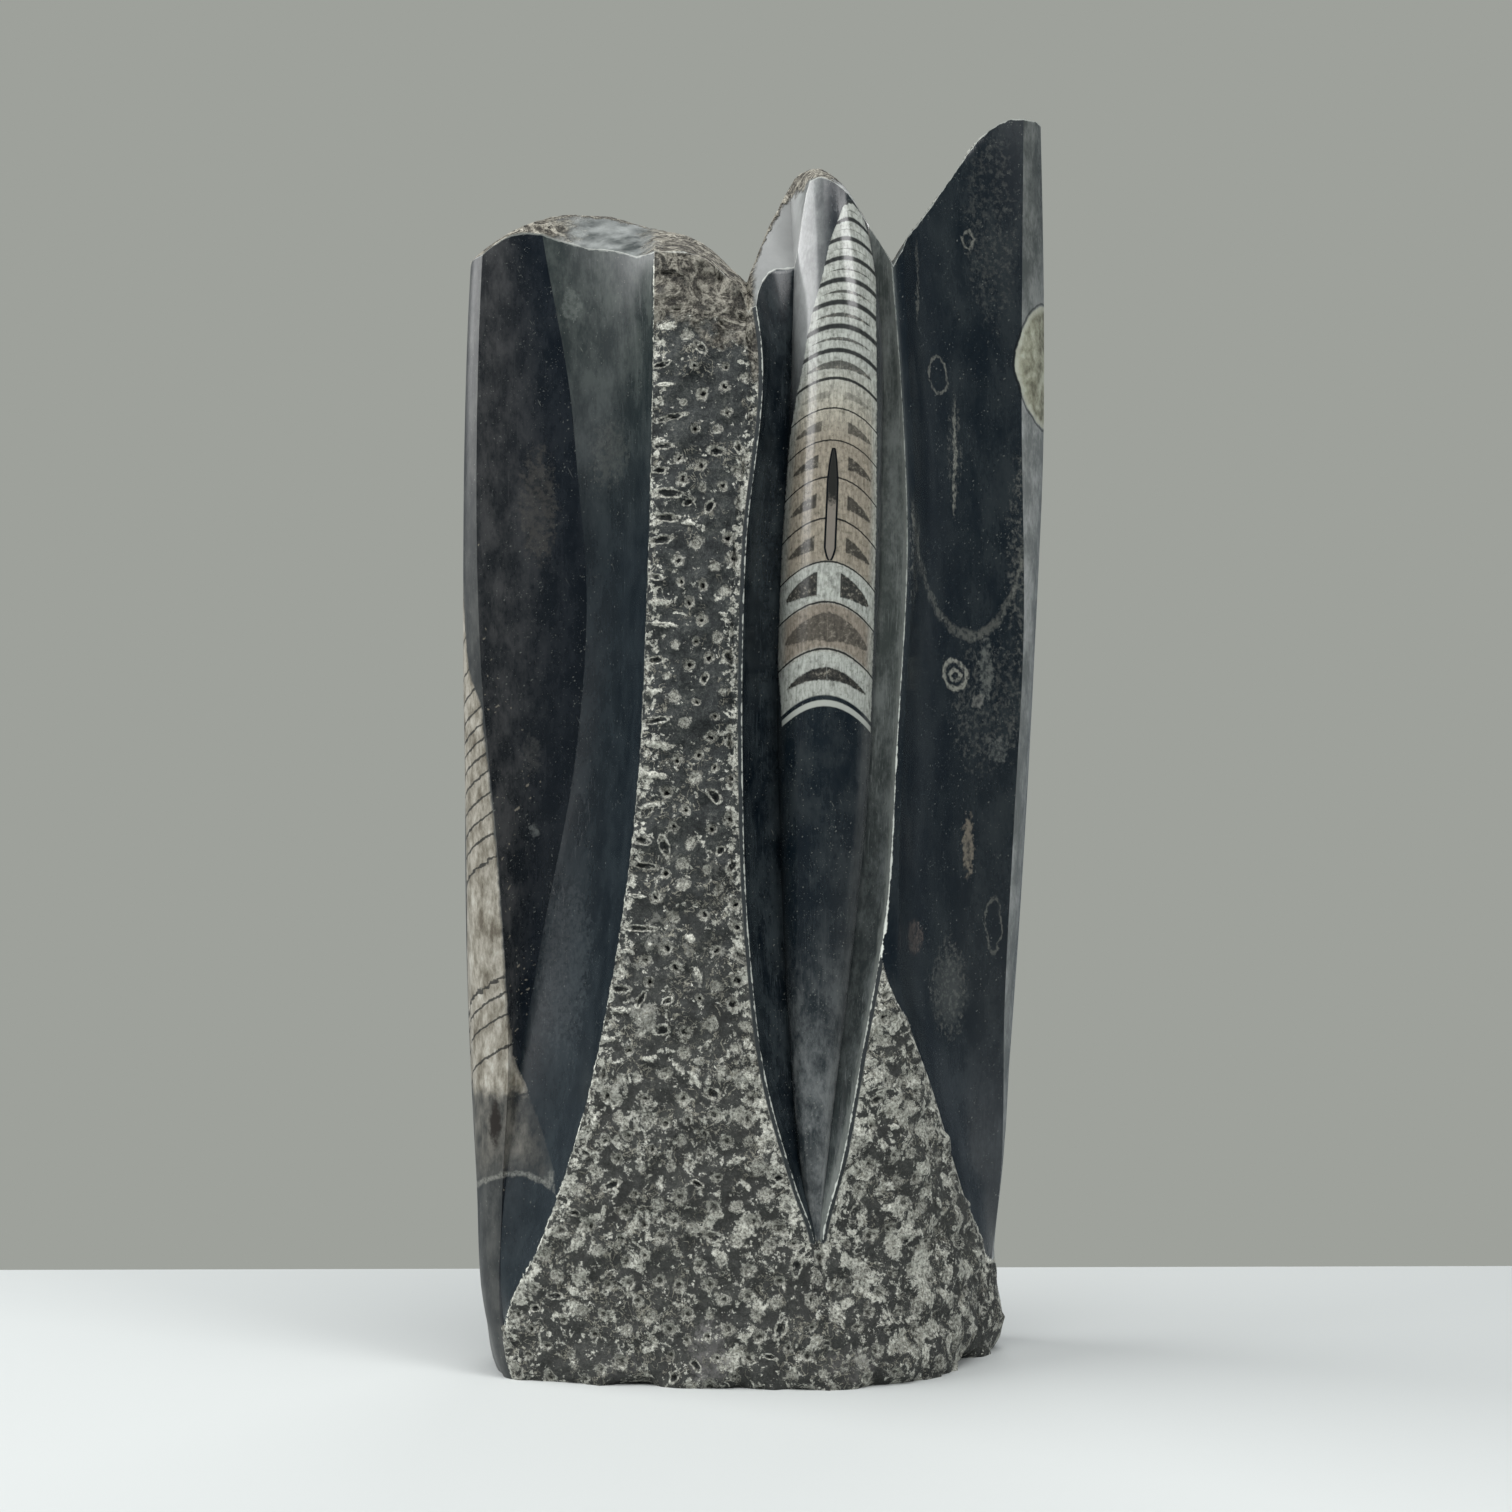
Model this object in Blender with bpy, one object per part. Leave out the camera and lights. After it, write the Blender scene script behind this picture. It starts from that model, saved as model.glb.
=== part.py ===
"""A standing tower of black orthoceras limestone, carved and polished from one block.

Metres, +Z up.  The tower stands on z = 0 with the origin under its middle, and its carved
front looks along -Y.  Five shapes are cut into the front: a long flute on the left, a strip of
point-chiselled ground, a leaf-shaped groove with the orthoceras standing in it as a half-round
spindle, a chiselled wedge, and a second flute that turns back to the right.  The top is sawn
into three lobes with a notch on each side of the spindle.
"""
from collections import namedtuple
from math import pi, radians

import bmesh
import bpy
import numpy as np
from mathutils import Vector, noise

MM = 0.001

# Overall size, in millimetres
HEIGHT = 369.4          # top of the right lobe
SKY = 380.0             # the carved lines run on to here, and the crown trims them

# Heights of the carved points, in millimetres
LEAF_TIP = 41.0         # lower end of the leaf-shaped groove
LEFT_FLUTE_TIP = 15.0
RIGHT_FLUTE_TIP = 28.0
WEDGE_TIP = 119.0       # upper end of the chiselled wedge
BACK_LEFT_TIP = 150.0   # lower ends of the two hollows in the back
BACK_RIGHT_TIP = 190.0

# How the surface is finished
RUN_OUT = 25.0          # height over which a polished hollow fades in above its tip
GROUND_RELIEF = 2.0     # depth of the chisel work on the chiselled ground
GROUND_LUMP = 10.0      # distance between its lumps
FOOT_ROUNDING = 1.0     # how far the worn foot pulls in
FOOT_HEIGHT = 6.0       # and how high that wear reaches
FOOT_FLAKE = 4.5        # flakes knocked out of the bottom edge
FLAKE_LENGTH = 18.0     # distance between them
CROWN_RELIEF = 2.2      # broken, unpolished stone on top
CROWN_LUMP = 14.0

ROWS = 36               # rows of faces from the foot to the crown
FOOT_ROWS = (1.5, 5.0, 12.0)
CROWN_ROWS = 6          # rows of faces across the top, front to back
SHARP_EDGE = 35.0       # degrees; the carved edges stay sharp, the rest is shaded smooth

# The carved lines, each a smooth curve up the stone: (height, x, y) in millimetres
LEFT_EDGE = [(0, -75, -24), (18, -79, -16), (53, -82, -10), (111, -85, -8), (230, -85, -9),
             (309, -84, -12), (SKY, -80, -15)]
LEFT_RIDGE = [(0, -71.5, -32), (15, -74, -31), (50, -74, -28), (89, -72.5, -27), (140, -75, -28),
              (200, -80.5, -28), (298, -81.5, -27), (SKY, -77, -24)]
FLUTE_BED = [(0, -70, -33), (15, -73, -31.5), (72, -71.2, -25), (120, -64, -20), (177, -53.8, -18),
             (227, -51, -18), (255, -53.4, -18.5), (279, -55.6, -19), (325, -63.6, -22), (SKY, -71, -25)]
FLUTE_ARRIS = [(0, -67.5, -34), (15, -72, -33), (40, -62, -39), (73, -51, -44), (115, -42, -47),
               (160, -36, -48), (218, -33, -48), (274, -31.5, -47), (SKY, -31, -44)]
LEAF_LEFT = [(0, -2, -51.5), (LEAF_TIP, 13.2, -51), (55, 8.5, -52), (85, 0, -52), (121, -4.5, -52),
             (173, -6.5, -52), (232, -5.5, -52), (288, -1, -50), (310, -4, -46), (SKY, -12, -40)]
SPINDLE_LEFT = [(0, 6, -52), (LEAF_TIP, 13.8, -50), (54, 10.8, -48), (93, 7, -43), (146, 4.5, -39),
                (191, 3.5, -38), (236, 5, -38), (282, 7.5, -38), (315, 8.5, -37), (SKY, 12, -24)]
SPINDLE_RIGHT = [(0, 18, -51.5), (LEAF_TIP, 15, -49), (63, 17.3, -47), (107, 23, -41), (151, 28, -38),
                 (194, 31, -36), (248, 33, -35), (305, 32.5, -34), (331, 29, -30), (SKY, 22, -20)]
LEAF_RIGHT = [(0, 26, -50.5), (LEAF_TIP, 16, -49), (61, 21, -49), (96, 27.5, -49), (129, 33.5, -46),
              (179, 37, -43), (236, 40, -43), (278, 38.5, -42), (315, 36, -39), (SKY, 33, -34)]
WEDGE_EDGE = [(0, 57.5, -12), (RIGHT_FLUTE_TIP, 66, 5), (50, 58, -9), (80, 48, -28), (107, 38.5, -42),
              (134, 37.5, -42), (191, 39.7, -40), (248, 42.5, -38), (291, 40.7, -36), (SKY, 37, -31)]
FLUTE_LIP = [(0, 66, 4), (RIGHT_FLUTE_TIP, 68.5, 10.5), (51, 71, 10), (104, 72.5, 10),
             (158, 75.5, 10), (212, 78.5, 10), (278, 78.2, 10), (SKY, 79, 8)]
RIGHT_EDGE = [(0, 71.5, 20), (9, 72.5, 19), (23, 69.8, 18.5), (68, 73.5, 21), (134, 78.5, 22),
              (201, 82.6, 22), (277, 86.2, 22), (316, 86.3, 21), (SKY, 85, 18)]
BACK_RIGHT = [(0, 64, 46), (60, 68, 48), (150, 75, 49), (277, 79, 48), (SKY, 78, 42)]
BACK_RIGHT_ARRIS = [(0, 36, 49), (BACK_RIGHT_TIP, 37.5, 52), (240, 43, 52), (300, 47, 50), (SKY, 52, 44)]
BACK_RIGHT_BED = [(0, 33, 49), (BACK_RIGHT_TIP, 36.5, 52), (240, 36.5, 48), (300, 36.5, 42), (SKY, 36.5, 34)]
BACK_RIGHT_CREST = [(0, 30, 49), (BACK_RIGHT_TIP, 35.5, 52), (240, 30, 52), (300, 27, 50), (SKY, 22, 44)]
BACK_LEFT_CREST = [(0, 0, 49), (BACK_LEFT_TIP, -4, 52), (215, 1, 52), (290, 4, 50), (SKY, 9, 43)]
BACK_LEFT_BED = [(0, -4, 49), (BACK_LEFT_TIP, -5, 52), (215, -5, 47), (290, -5, 41), (SKY, -5, 33)]
BACK_LEFT_ARRIS = [(0, -8, 49), (BACK_LEFT_TIP, -6, 52), (215, -11, 51), (290, -15, 49), (SKY, -21, 42)]
BACK_LEFT = [(0, -64, 38), (60, -70, 42), (150, -74, 44), (277, -73, 42), (SKY, -68, 36)]

# The crown: its height along x for each lobe, and where its ridge lies front to back
LOBES = [
    [(-90, 311), (-83, 320), (-75, 326.5), (-67, 331.5), (-57, 335), (-46, 334.5), (-31, 329.5),
     (-16, 322), (-5, 310)],
    [(-5, 310), (3, 332), (9, 343.5), (15, 345.5), (20.5, 341.5), (31, 325.5), (36.5, 317)],
    [(36.5, 317), (46.5, 333.5), (56.5, 349.5), (64.5, 361), (74, 368), (90, 369.4)],
]
CROWN_RIDGE = [(-90, -22), (-74, -20), (-62, -14), (-50, -8), (-36, -12), (-22, -24), (-10, -30),
               (-4, -38), (8, -14), (16, -26), (24, -33), (36, -32), (46, -24), (56, -14), (74, 6),
               (90, 20)]
# Slope of the bevel in front of the ridge, along x: steep over the left flute's bed and over the
# groove left of the spindle
FRONT_FALL = [(-90, 0.45), (-76, 0.55), (-66, 0.9), (-60, 1.0), (-50, 0.75), (-36, 0.58), (-31, 0.45),
              (-7, 0.45), (-4, 1.3), (8.5, 1.3), (12.5, 0.45), (90, 0.45)]
BACK_FALL = 0.12        # slope of the top behind it

# One strip of surface, from its own carved line to the next strip's.  A bow is how far it bulges
# at its middle as a share of its width, less than 0 for a hollow: polished_bow where the strip is
# polished, and ground_bow under tip, where it is chiselled.  half_round makes the bulge a half
# circle's.
Strip = namedtuple("Strip", "line columns polished_bow ground_bow half_round tip")
STRIPS = [
    Strip(LEFT_EDGE, 4, 0.16, 0.10, False, 0),
    Strip(LEFT_RIDGE, 5, -0.07, 0, False, LEFT_FLUTE_TIP),
    Strip(FLUTE_BED, 5, -0.10, 0, False, LEFT_FLUTE_TIP),
    Strip(FLUTE_ARRIS, 12, 0.03, 0.03, False, SKY),
    Strip(LEAF_LEFT, 3, -0.12, 0, False, LEAF_TIP),
    Strip(SPINDLE_LEFT, 10, 0.46, 0.05, True, LEAF_TIP),
    Strip(SPINDLE_RIGHT, 3, -0.12, 0, False, LEAF_TIP),
    Strip(LEAF_RIGHT, 7, -0.05, 0.13, False, WEDGE_TIP),
    Strip(WEDGE_EDGE, 8, -0.13, 0.04, False, RIGHT_FLUTE_TIP),
    Strip(FLUTE_LIP, 2, 0.06, 0.06, False, RIGHT_FLUTE_TIP),
    Strip(RIGHT_EDGE, 5, 0.10, 0.10, False, 0),
    Strip(BACK_RIGHT, 9, 0.04, 0.04, False, SKY),
    Strip(BACK_RIGHT_ARRIS, 3, -0.10, 0, False, BACK_RIGHT_TIP),
    Strip(BACK_RIGHT_BED, 3, -0.10, 0, False, BACK_RIGHT_TIP),
    Strip(BACK_RIGHT_CREST, 10, 0.03, 0.03, False, SKY),
    Strip(BACK_LEFT_CREST, 3, -0.10, 0, False, BACK_LEFT_TIP),
    Strip(BACK_LEFT_BED, 3, -0.10, 0, False, BACK_LEFT_TIP),
    Strip(BACK_LEFT_ARRIS, 17, 0.03, 0.03, False, SKY),
    Strip(BACK_LEFT, 6, 0.12, 0.12, False, 0),
]
FRONT_STRIPS = 10       # the first ten face the front; the rest go round the back


def smooth(points, at):
    """Read the smooth curve through (position, values...) points at the positions given."""
    table = np.array(points, float)
    knots = table[:, 0]
    values = table[:, 1:]
    slopes = np.gradient(values, knots, axis=0)
    i = np.clip(np.searchsorted(knots, at) - 1, 0, len(knots) - 2)
    span = (knots[i + 1] - knots[i])[..., None]
    t = np.clip((at - knots[i])[..., None] / span, 0, 1)
    rise = values[i + 1] - values[i]
    start = slopes[i] * span - rise
    end = rise - slopes[i + 1] * span
    return values[i] + t * rise + t * (1 - t) * ((1 - t) * start + t * end)


def read(table, at):
    """Read a table of (position, value), straight between its points."""
    return np.interp(at, [row[0] for row in table], [row[1] for row in table])


def crown_height(x, y):
    """Height of the sawn top over a point of the plan."""
    height = np.zeros_like(x)
    for lobe in LOBES:
        inside = (x >= lobe[0][0]) & (x <= lobe[-1][0])
        height = np.where(inside, smooth(lobe, x)[..., 0], height)
    behind = y - read(CROWN_RIDGE, x)
    return height - np.where(behind < 0, -read(FRONT_FALL, x) * behind, BACK_FALL * behind)


def column_places():
    """The strip and the share of its width for every column, once round the stone."""
    strip_of = []
    share = []
    for number, strip in enumerate(STRIPS):
        step = np.arange(strip.columns) / strip.columns
        strip_of += [number] * strip.columns
        share += list((1 - np.cos(pi * step)) / 2 if strip.half_round else step)
    return np.array(strip_of), np.array(share)


def wall(heights, strip_of, share):
    """Plan position of each column at its heights: an array of rows, columns and (x, y)."""
    place = np.zeros(heights.shape + (2,))
    for number, strip in enumerate(STRIPS):
        here = strip_of == number
        following = STRIPS[(number + 1) % len(STRIPS)]
        start = smooth(strip.line, heights[:, here])
        end = smooth(following.line, heights[:, here])
        chord = end - start
        outward = np.stack([chord[..., 1], -chord[..., 0]], axis=-1)
        polish = np.clip((heights[:, here] - strip.tip) / RUN_OUT, 0, 1)[..., None]
        bow = strip.ground_bow + polish * (strip.polished_bow - strip.ground_bow)
        s = share[here][None, :, None]
        arch = 4 * s * (1 - s)
        if strip.half_round:
            arch = np.sqrt(arch)
        place[:, here] = start + chord * s + outward * bow * arch
    return place


def trimmed_heights(strip_of, share):
    """Heights of every row of every column, ending where the column meets the crown."""
    top = np.full((1, len(share)), HEIGHT)
    for _ in range(12):
        place = wall(top, strip_of, share)
        top = crown_height(place[..., 0], place[..., 1])
    upper_rows = ROWS - len(FOOT_ROWS)
    rise = np.linspace(0, 1, upper_rows + 1)[1:, None]
    last = FOOT_ROWS[-1]
    foot = np.repeat(np.array((0.0,) + FOOT_ROWS)[:, None], len(share), axis=1)
    return np.concatenate([foot, last + rise * (top - last)])


def lump(x, y, z, size):
    """Smooth noise from -1 to 1 with lumps of the size given."""
    return noise.noise(Vector((x, y, z)) / size)


def chisel_depth(x, y, z):
    """How far the chiselled ground stands in or out, from its blunt blows and its broken grain."""
    broad = lump(x, y, z, GROUND_LUMP)
    close = lump(x, y, z + 50, GROUND_LUMP * 0.45)
    return GROUND_RELIEF * (broad + 0.6 * close)


def worn_foot(x, y, z):
    """How far the bottom edge is pulled in by wear and by the flakes knocked out of it."""
    if z >= FOOT_HEIGHT:
        return 0.0
    share = (1 - z / FOOT_HEIGHT) ** 2
    flake = max(0.0, lump(x, y, 0, FLAKE_LENGTH) * 2)
    return share * (FOOT_ROUNDING + FOOT_FLAKE * flake)


def add_walls(mesh, place, heights):
    """Put the rows of vertices in the mesh and join them with faces; gives the rows back."""
    rows, columns = heights.shape
    grid = [[mesh.verts.new((*place[r, c], heights[r, c])) for c in range(columns)]
            for r in range(rows)]
    for r in range(rows - 1):
        for c in range(columns):
            after = (c + 1) % columns
            mesh.faces.new((grid[r][c], grid[r][after], grid[r + 1][after], grid[r + 1][c]))
    return grid


def add_crown(mesh, rim, front_count):
    """Close the top: each front column is joined across the stone to the back column behind it."""
    columns = len(rim)
    rows = [[rim[0]] * (CROWN_ROWS + 1)]
    for c in range(1, front_count):
        front = rim[c]
        back = rim[columns - c]
        line = [front]
        for step in range(1, CROWN_ROWS):
            spot = front.co.lerp(back.co, step / CROWN_ROWS)
            height = crown_height(np.array([spot.x]), np.array([spot.y]))[0]
            height += CROWN_RELIEF * lump(spot.x, spot.y, 0, CROWN_LUMP)
            line.append(mesh.verts.new((spot.x, spot.y, height)))
        rows.append(line + [back])
    rows.append([rim[front_count]] * (CROWN_ROWS + 1))
    for near, far in zip(rows, rows[1:]):
        for step in range(CROWN_ROWS):
            corners = [near[step], far[step], far[step + 1], near[step + 1]]
            corners = list(dict.fromkeys(corners))
            if len(corners) > 2:
                mesh.faces.new(corners)


def ground_tops(strip_of):
    """Height under which each column is chiselled; a carved line itself keeps its crisp edge."""
    tops = np.array([STRIPS[number].tip for number in strip_of])
    on_line = strip_of != np.roll(strip_of, 1)
    return np.where(on_line, np.minimum(tops, np.roll(tops, 1)), tops)


def dress_surface(grid, strip_of):
    """Work the chiselled ground and the worn foot into the smooth stone."""
    tops = ground_tops(strip_of)
    moves = []
    for row in grid:
        for vert, top in zip(row, tops):
            x, y, z = vert.co
            move = -worn_foot(x, y, z)
            if FOOT_ROWS[0] <= z < top:
                move += chisel_depth(x, y, z)
            outward = Vector((vert.normal.x, vert.normal.y, 0)).normalized()
            moves.append((vert, outward * move))
    for vert, move in moves:
        vert.co += move


def build_stone(collection, material):
    """Model the tower and put it in the collection."""
    strip_of, share = column_places()
    heights = trimmed_heights(strip_of, share)
    mesh = bmesh.new()
    grid = add_walls(mesh, wall(heights, strip_of, share), heights)
    front_count = sum(strip.columns for strip in STRIPS[:FRONT_STRIPS])
    add_crown(mesh, grid[-1], front_count)
    mesh.faces.new(grid[0][::-1])
    mesh.normal_update()
    dress_surface(grid, strip_of)

    corners = np.array([vert.co for vert in mesh.verts])
    middle = (corners.min(axis=0) + corners.max(axis=0)) / 2
    bmesh.ops.translate(mesh, verts=mesh.verts, vec=(-middle[0], -middle[1], 0))
    bmesh.ops.scale(mesh, verts=mesh.verts, vec=(MM, MM, MM))

    data = bpy.data.meshes.new("orthoceras_stone")
    mesh.to_mesh(data)
    mesh.free()
    data.shade_smooth()
    data.set_sharp_from_angle(angle=radians(SHARP_EDGE))
    data.materials.append(material)
    stone = bpy.data.objects.new("orthoceras_stone", data)
    collection.objects.link(stone)
    return stone


def black_limestone():
    """Polished black limestone."""
    material = bpy.data.materials.new("black_limestone")
    material.use_nodes = True
    shader = material.node_tree.nodes["Principled BSDF"]
    shader.inputs["Base Color"].default_value = (0.03, 0.035, 0.04, 1)
    shader.inputs["Roughness"].default_value = 0.3
    shader.inputs["Metallic"].default_value = 0.0
    return material


for leftover in list(bpy.data.objects):
    bpy.data.objects.remove(leftover)
tower = bpy.data.collections.new("orthoceras_tower")
bpy.context.scene.collection.children.link(tower)
build_stone(tower, black_limestone())
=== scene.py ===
from collections import namedtuple
from math import pi, radians

import bpy
import numpy as np
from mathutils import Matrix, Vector, noise
from mathutils.kdtree import KDTree


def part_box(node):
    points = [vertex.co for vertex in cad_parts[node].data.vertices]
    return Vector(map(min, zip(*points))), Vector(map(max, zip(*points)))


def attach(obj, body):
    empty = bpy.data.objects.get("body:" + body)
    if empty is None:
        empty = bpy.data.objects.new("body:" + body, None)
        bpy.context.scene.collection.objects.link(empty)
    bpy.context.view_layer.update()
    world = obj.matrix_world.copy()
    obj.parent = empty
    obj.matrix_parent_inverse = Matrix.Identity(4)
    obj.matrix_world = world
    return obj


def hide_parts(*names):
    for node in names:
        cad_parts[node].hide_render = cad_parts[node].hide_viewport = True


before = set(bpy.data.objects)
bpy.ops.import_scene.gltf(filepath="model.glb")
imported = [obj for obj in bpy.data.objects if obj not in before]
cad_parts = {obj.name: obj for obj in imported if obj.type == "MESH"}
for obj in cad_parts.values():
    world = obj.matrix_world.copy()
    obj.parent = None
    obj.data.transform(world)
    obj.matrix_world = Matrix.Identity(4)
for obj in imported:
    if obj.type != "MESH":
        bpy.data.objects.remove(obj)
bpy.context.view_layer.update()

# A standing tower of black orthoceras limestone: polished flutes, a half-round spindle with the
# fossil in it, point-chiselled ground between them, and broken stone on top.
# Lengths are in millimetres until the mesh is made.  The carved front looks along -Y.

STONE_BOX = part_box("orthoceras_stone")
MM = 0.001

# ---------------------------------------------------------------- the carved shape

HEIGHT = 369.4          # top of the right lobe
SKY = 380.0             # the carved lines run on to here, and the crown trims them
MIDDLE = (-0.43, 0.80)  # middle of the stone in the plan of the carved lines

LEAF_TIP = 41.0         # lower end of the leaf-shaped groove
LEFT_FLUTE_TIP = 15.0
RIGHT_FLUTE_TIP = 28.0
WEDGE_TIP = 119.0       # upper end of the chiselled wedge
WEDGE_SLANT = 19.0      # how much lower the wedge ends at its right edge
BACK_LEFT_TIP = 150.0   # lower ends of the two hollows in the back
BACK_RIGHT_TIP = 190.0

RUN_OUT = 25.0          # height over which a polished hollow fades in above its tip
GROUND_RELIEF = 2.0     # depth of the chisel work on the chiselled ground
GROUND_LUMP = 10.0      # distance between its lumps
FOOT_ROUNDING = 1.0     # how far the worn foot pulls in
FOOT_HEIGHT = 6.0       # and how high that wear reaches
FOOT_FLAKE = 4.5        # flakes knocked out of the bottom edge
FLAKE_LENGTH = 18.0     # distance between them
CROWN_RELIEF = 2.2      # broken, unpolished stone on top
CROWN_LUMP = 14.0

ROWS = 432              # fine rows from the foot to the crown; a multiple of every row_step
CROWN_ROWS = 36
CROWN_CROWDING = 1.5    # over 1, the crown's rows lie closer together at the front
TRIM_STEPS = 12         # steps in which the wall's top settles on the crown
EDGE_STEP = 0.5         # distance between the points that stand for an edge
SHARP_EDGE = 35.0       # degrees

# The carved lines, each a smooth curve up the stone: (height, x, y)
LEFT_EDGE = [(0, -75, -24), (18, -79, -16), (53, -82, -10), (111, -85, -8), (230, -85, -9),
             (309, -84, -12), (SKY, -80, -15)]
LEFT_RIDGE = [(0, -71.5, -32), (15, -74, -31), (50, -74, -28), (89, -72.5, -27), (140, -75, -28),
              (200, -80.5, -28), (298, -81.5, -27), (SKY, -77, -24)]
FLUTE_BED = [(0, -70, -33), (15, -73, -31.5), (72, -71.2, -25), (120, -64, -20), (177, -53.8, -18),
             (227, -51, -18), (255, -53.4, -18.5), (279, -55.6, -19), (325, -63.6, -22), (SKY, -71, -25)]
FLUTE_ARRIS = [(0, -67.5, -34), (15, -72, -33), (40, -62, -39), (73, -51, -44), (115, -42, -47),
               (160, -36, -48), (218, -33, -48), (274, -31.5, -47), (SKY, -31, -44)]
LEAF_LEFT = [(0, -2, -51.5), (LEAF_TIP, 13.2, -51), (55, 8.5, -52), (85, 0, -52), (121, -4.5, -52),
             (173, -6.5, -52), (232, -5.5, -52), (288, -1, -50), (310, -4, -46), (SKY, -12, -40)]
SPINDLE_LEFT = [(0, 6, -52), (LEAF_TIP, 13.8, -50), (54, 10.8, -48), (93, 7, -43), (146, 4.5, -39),
                (191, 3.5, -38), (236, 5, -38), (282, 7.5, -38), (315, 8.5, -37), (SKY, 12, -24)]
SPINDLE_RIGHT = [(0, 18, -51.5), (LEAF_TIP, 15, -49), (63, 17.3, -47), (107, 23, -41), (151, 28, -38),
                 (194, 31, -36), (248, 33, -35), (305, 32.5, -34), (331, 29, -30), (SKY, 22, -20)]
LEAF_RIGHT = [(0, 26, -50.5), (LEAF_TIP, 16, -49), (61, 21, -49), (96, 27.5, -49), (129, 33.5, -46),
              (179, 37, -43), (236, 40, -43), (278, 38.5, -42), (315, 36, -39), (SKY, 33, -34)]
WEDGE_EDGE = [(0, 57.5, -12), (RIGHT_FLUTE_TIP, 66, 5), (50, 58, -9), (80, 48, -28), (107, 38.5, -42),
              (134, 37.5, -42), (191, 39.7, -40), (248, 42.5, -38), (291, 40.7, -36), (SKY, 37, -31)]
FLUTE_LIP = [(0, 66, 4), (RIGHT_FLUTE_TIP, 68.5, 10.5), (51, 71, 10), (104, 72.5, 10),
             (158, 75.5, 10), (212, 78.5, 10), (278, 78.2, 10), (SKY, 79, 8)]
RIGHT_EDGE = [(0, 71.5, 20), (9, 72.5, 19), (23, 69.8, 18.5), (68, 73.5, 21), (134, 78.5, 22),
              (201, 82.6, 22), (277, 86.2, 22), (316, 86.3, 21), (SKY, 85, 18)]
BACK_RIGHT = [(0, 64, 46), (60, 68, 48), (150, 75, 49), (277, 79, 48), (SKY, 78, 42)]
BACK_RIGHT_ARRIS = [(0, 36, 49), (BACK_RIGHT_TIP, 37.5, 52), (240, 43, 52), (300, 47, 50), (SKY, 52, 44)]
BACK_RIGHT_BED = [(0, 33, 49), (BACK_RIGHT_TIP, 36.5, 52), (240, 36.5, 48), (300, 36.5, 42), (SKY, 36.5, 34)]
BACK_RIGHT_CREST = [(0, 30, 49), (BACK_RIGHT_TIP, 35.5, 52), (240, 30, 52), (300, 27, 50), (SKY, 22, 44)]
BACK_LEFT_CREST = [(0, 0, 49), (BACK_LEFT_TIP, -4, 52), (215, 1, 52), (290, 4, 50), (SKY, 9, 43)]
BACK_LEFT_BED = [(0, -4, 49), (BACK_LEFT_TIP, -5, 52), (215, -5, 47), (290, -5, 41), (SKY, -5, 33)]
BACK_LEFT_ARRIS = [(0, -8, 49), (BACK_LEFT_TIP, -6, 52), (215, -11, 51), (290, -15, 49), (SKY, -21, 42)]
BACK_LEFT = [(0, -64, 38), (60, -70, 42), (150, -74, 44), (277, -73, 42), (SKY, -68, 36)]

# The crown: its height along x for each lobe, and where its ridge lies front to back
LOBES = [
    [(-90, 311), (-83, 320), (-75, 326.5), (-67, 331.5), (-57, 335), (-46, 334.5), (-31, 329.5),
     (-16, 322), (-5, 310)],
    [(-5, 310), (3, 332), (9, 343.5), (15, 345.5), (20.5, 341.5), (31, 325.5), (36.5, 317)],
    [(36.5, 317), (46.5, 333.5), (56.5, 349.5), (64.5, 361), (74, 368), (90, 369.4)],
]
CROWN_RIDGE = [(-90, -22), (-74, -20), (-62, -14), (-50, -8), (-36, -12), (-22, -24), (-10, -30),
               (-4, -38), (8, -14), (16, -26), (24, -33), (36, -32), (46, -24), (56, -14), (74, 6),
               (90, 20)]
# Slope of the bevel in front of the ridge, along x: steep over the left flute's bed and over the
# groove left of the spindle
FRONT_FALL = [(-90, 0.45), (-76, 0.55), (-66, 0.9), (-60, 1.0), (-50, 0.75), (-36, 0.58), (-31, 0.45),
              (-7, 0.45), (-4, 1.3), (8.5, 1.3), (12.5, 0.45), (90, 0.45)]
BACK_FALL = 0.12        # slope of the top behind it
RIDGE_ROUNDING = 0.9

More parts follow.
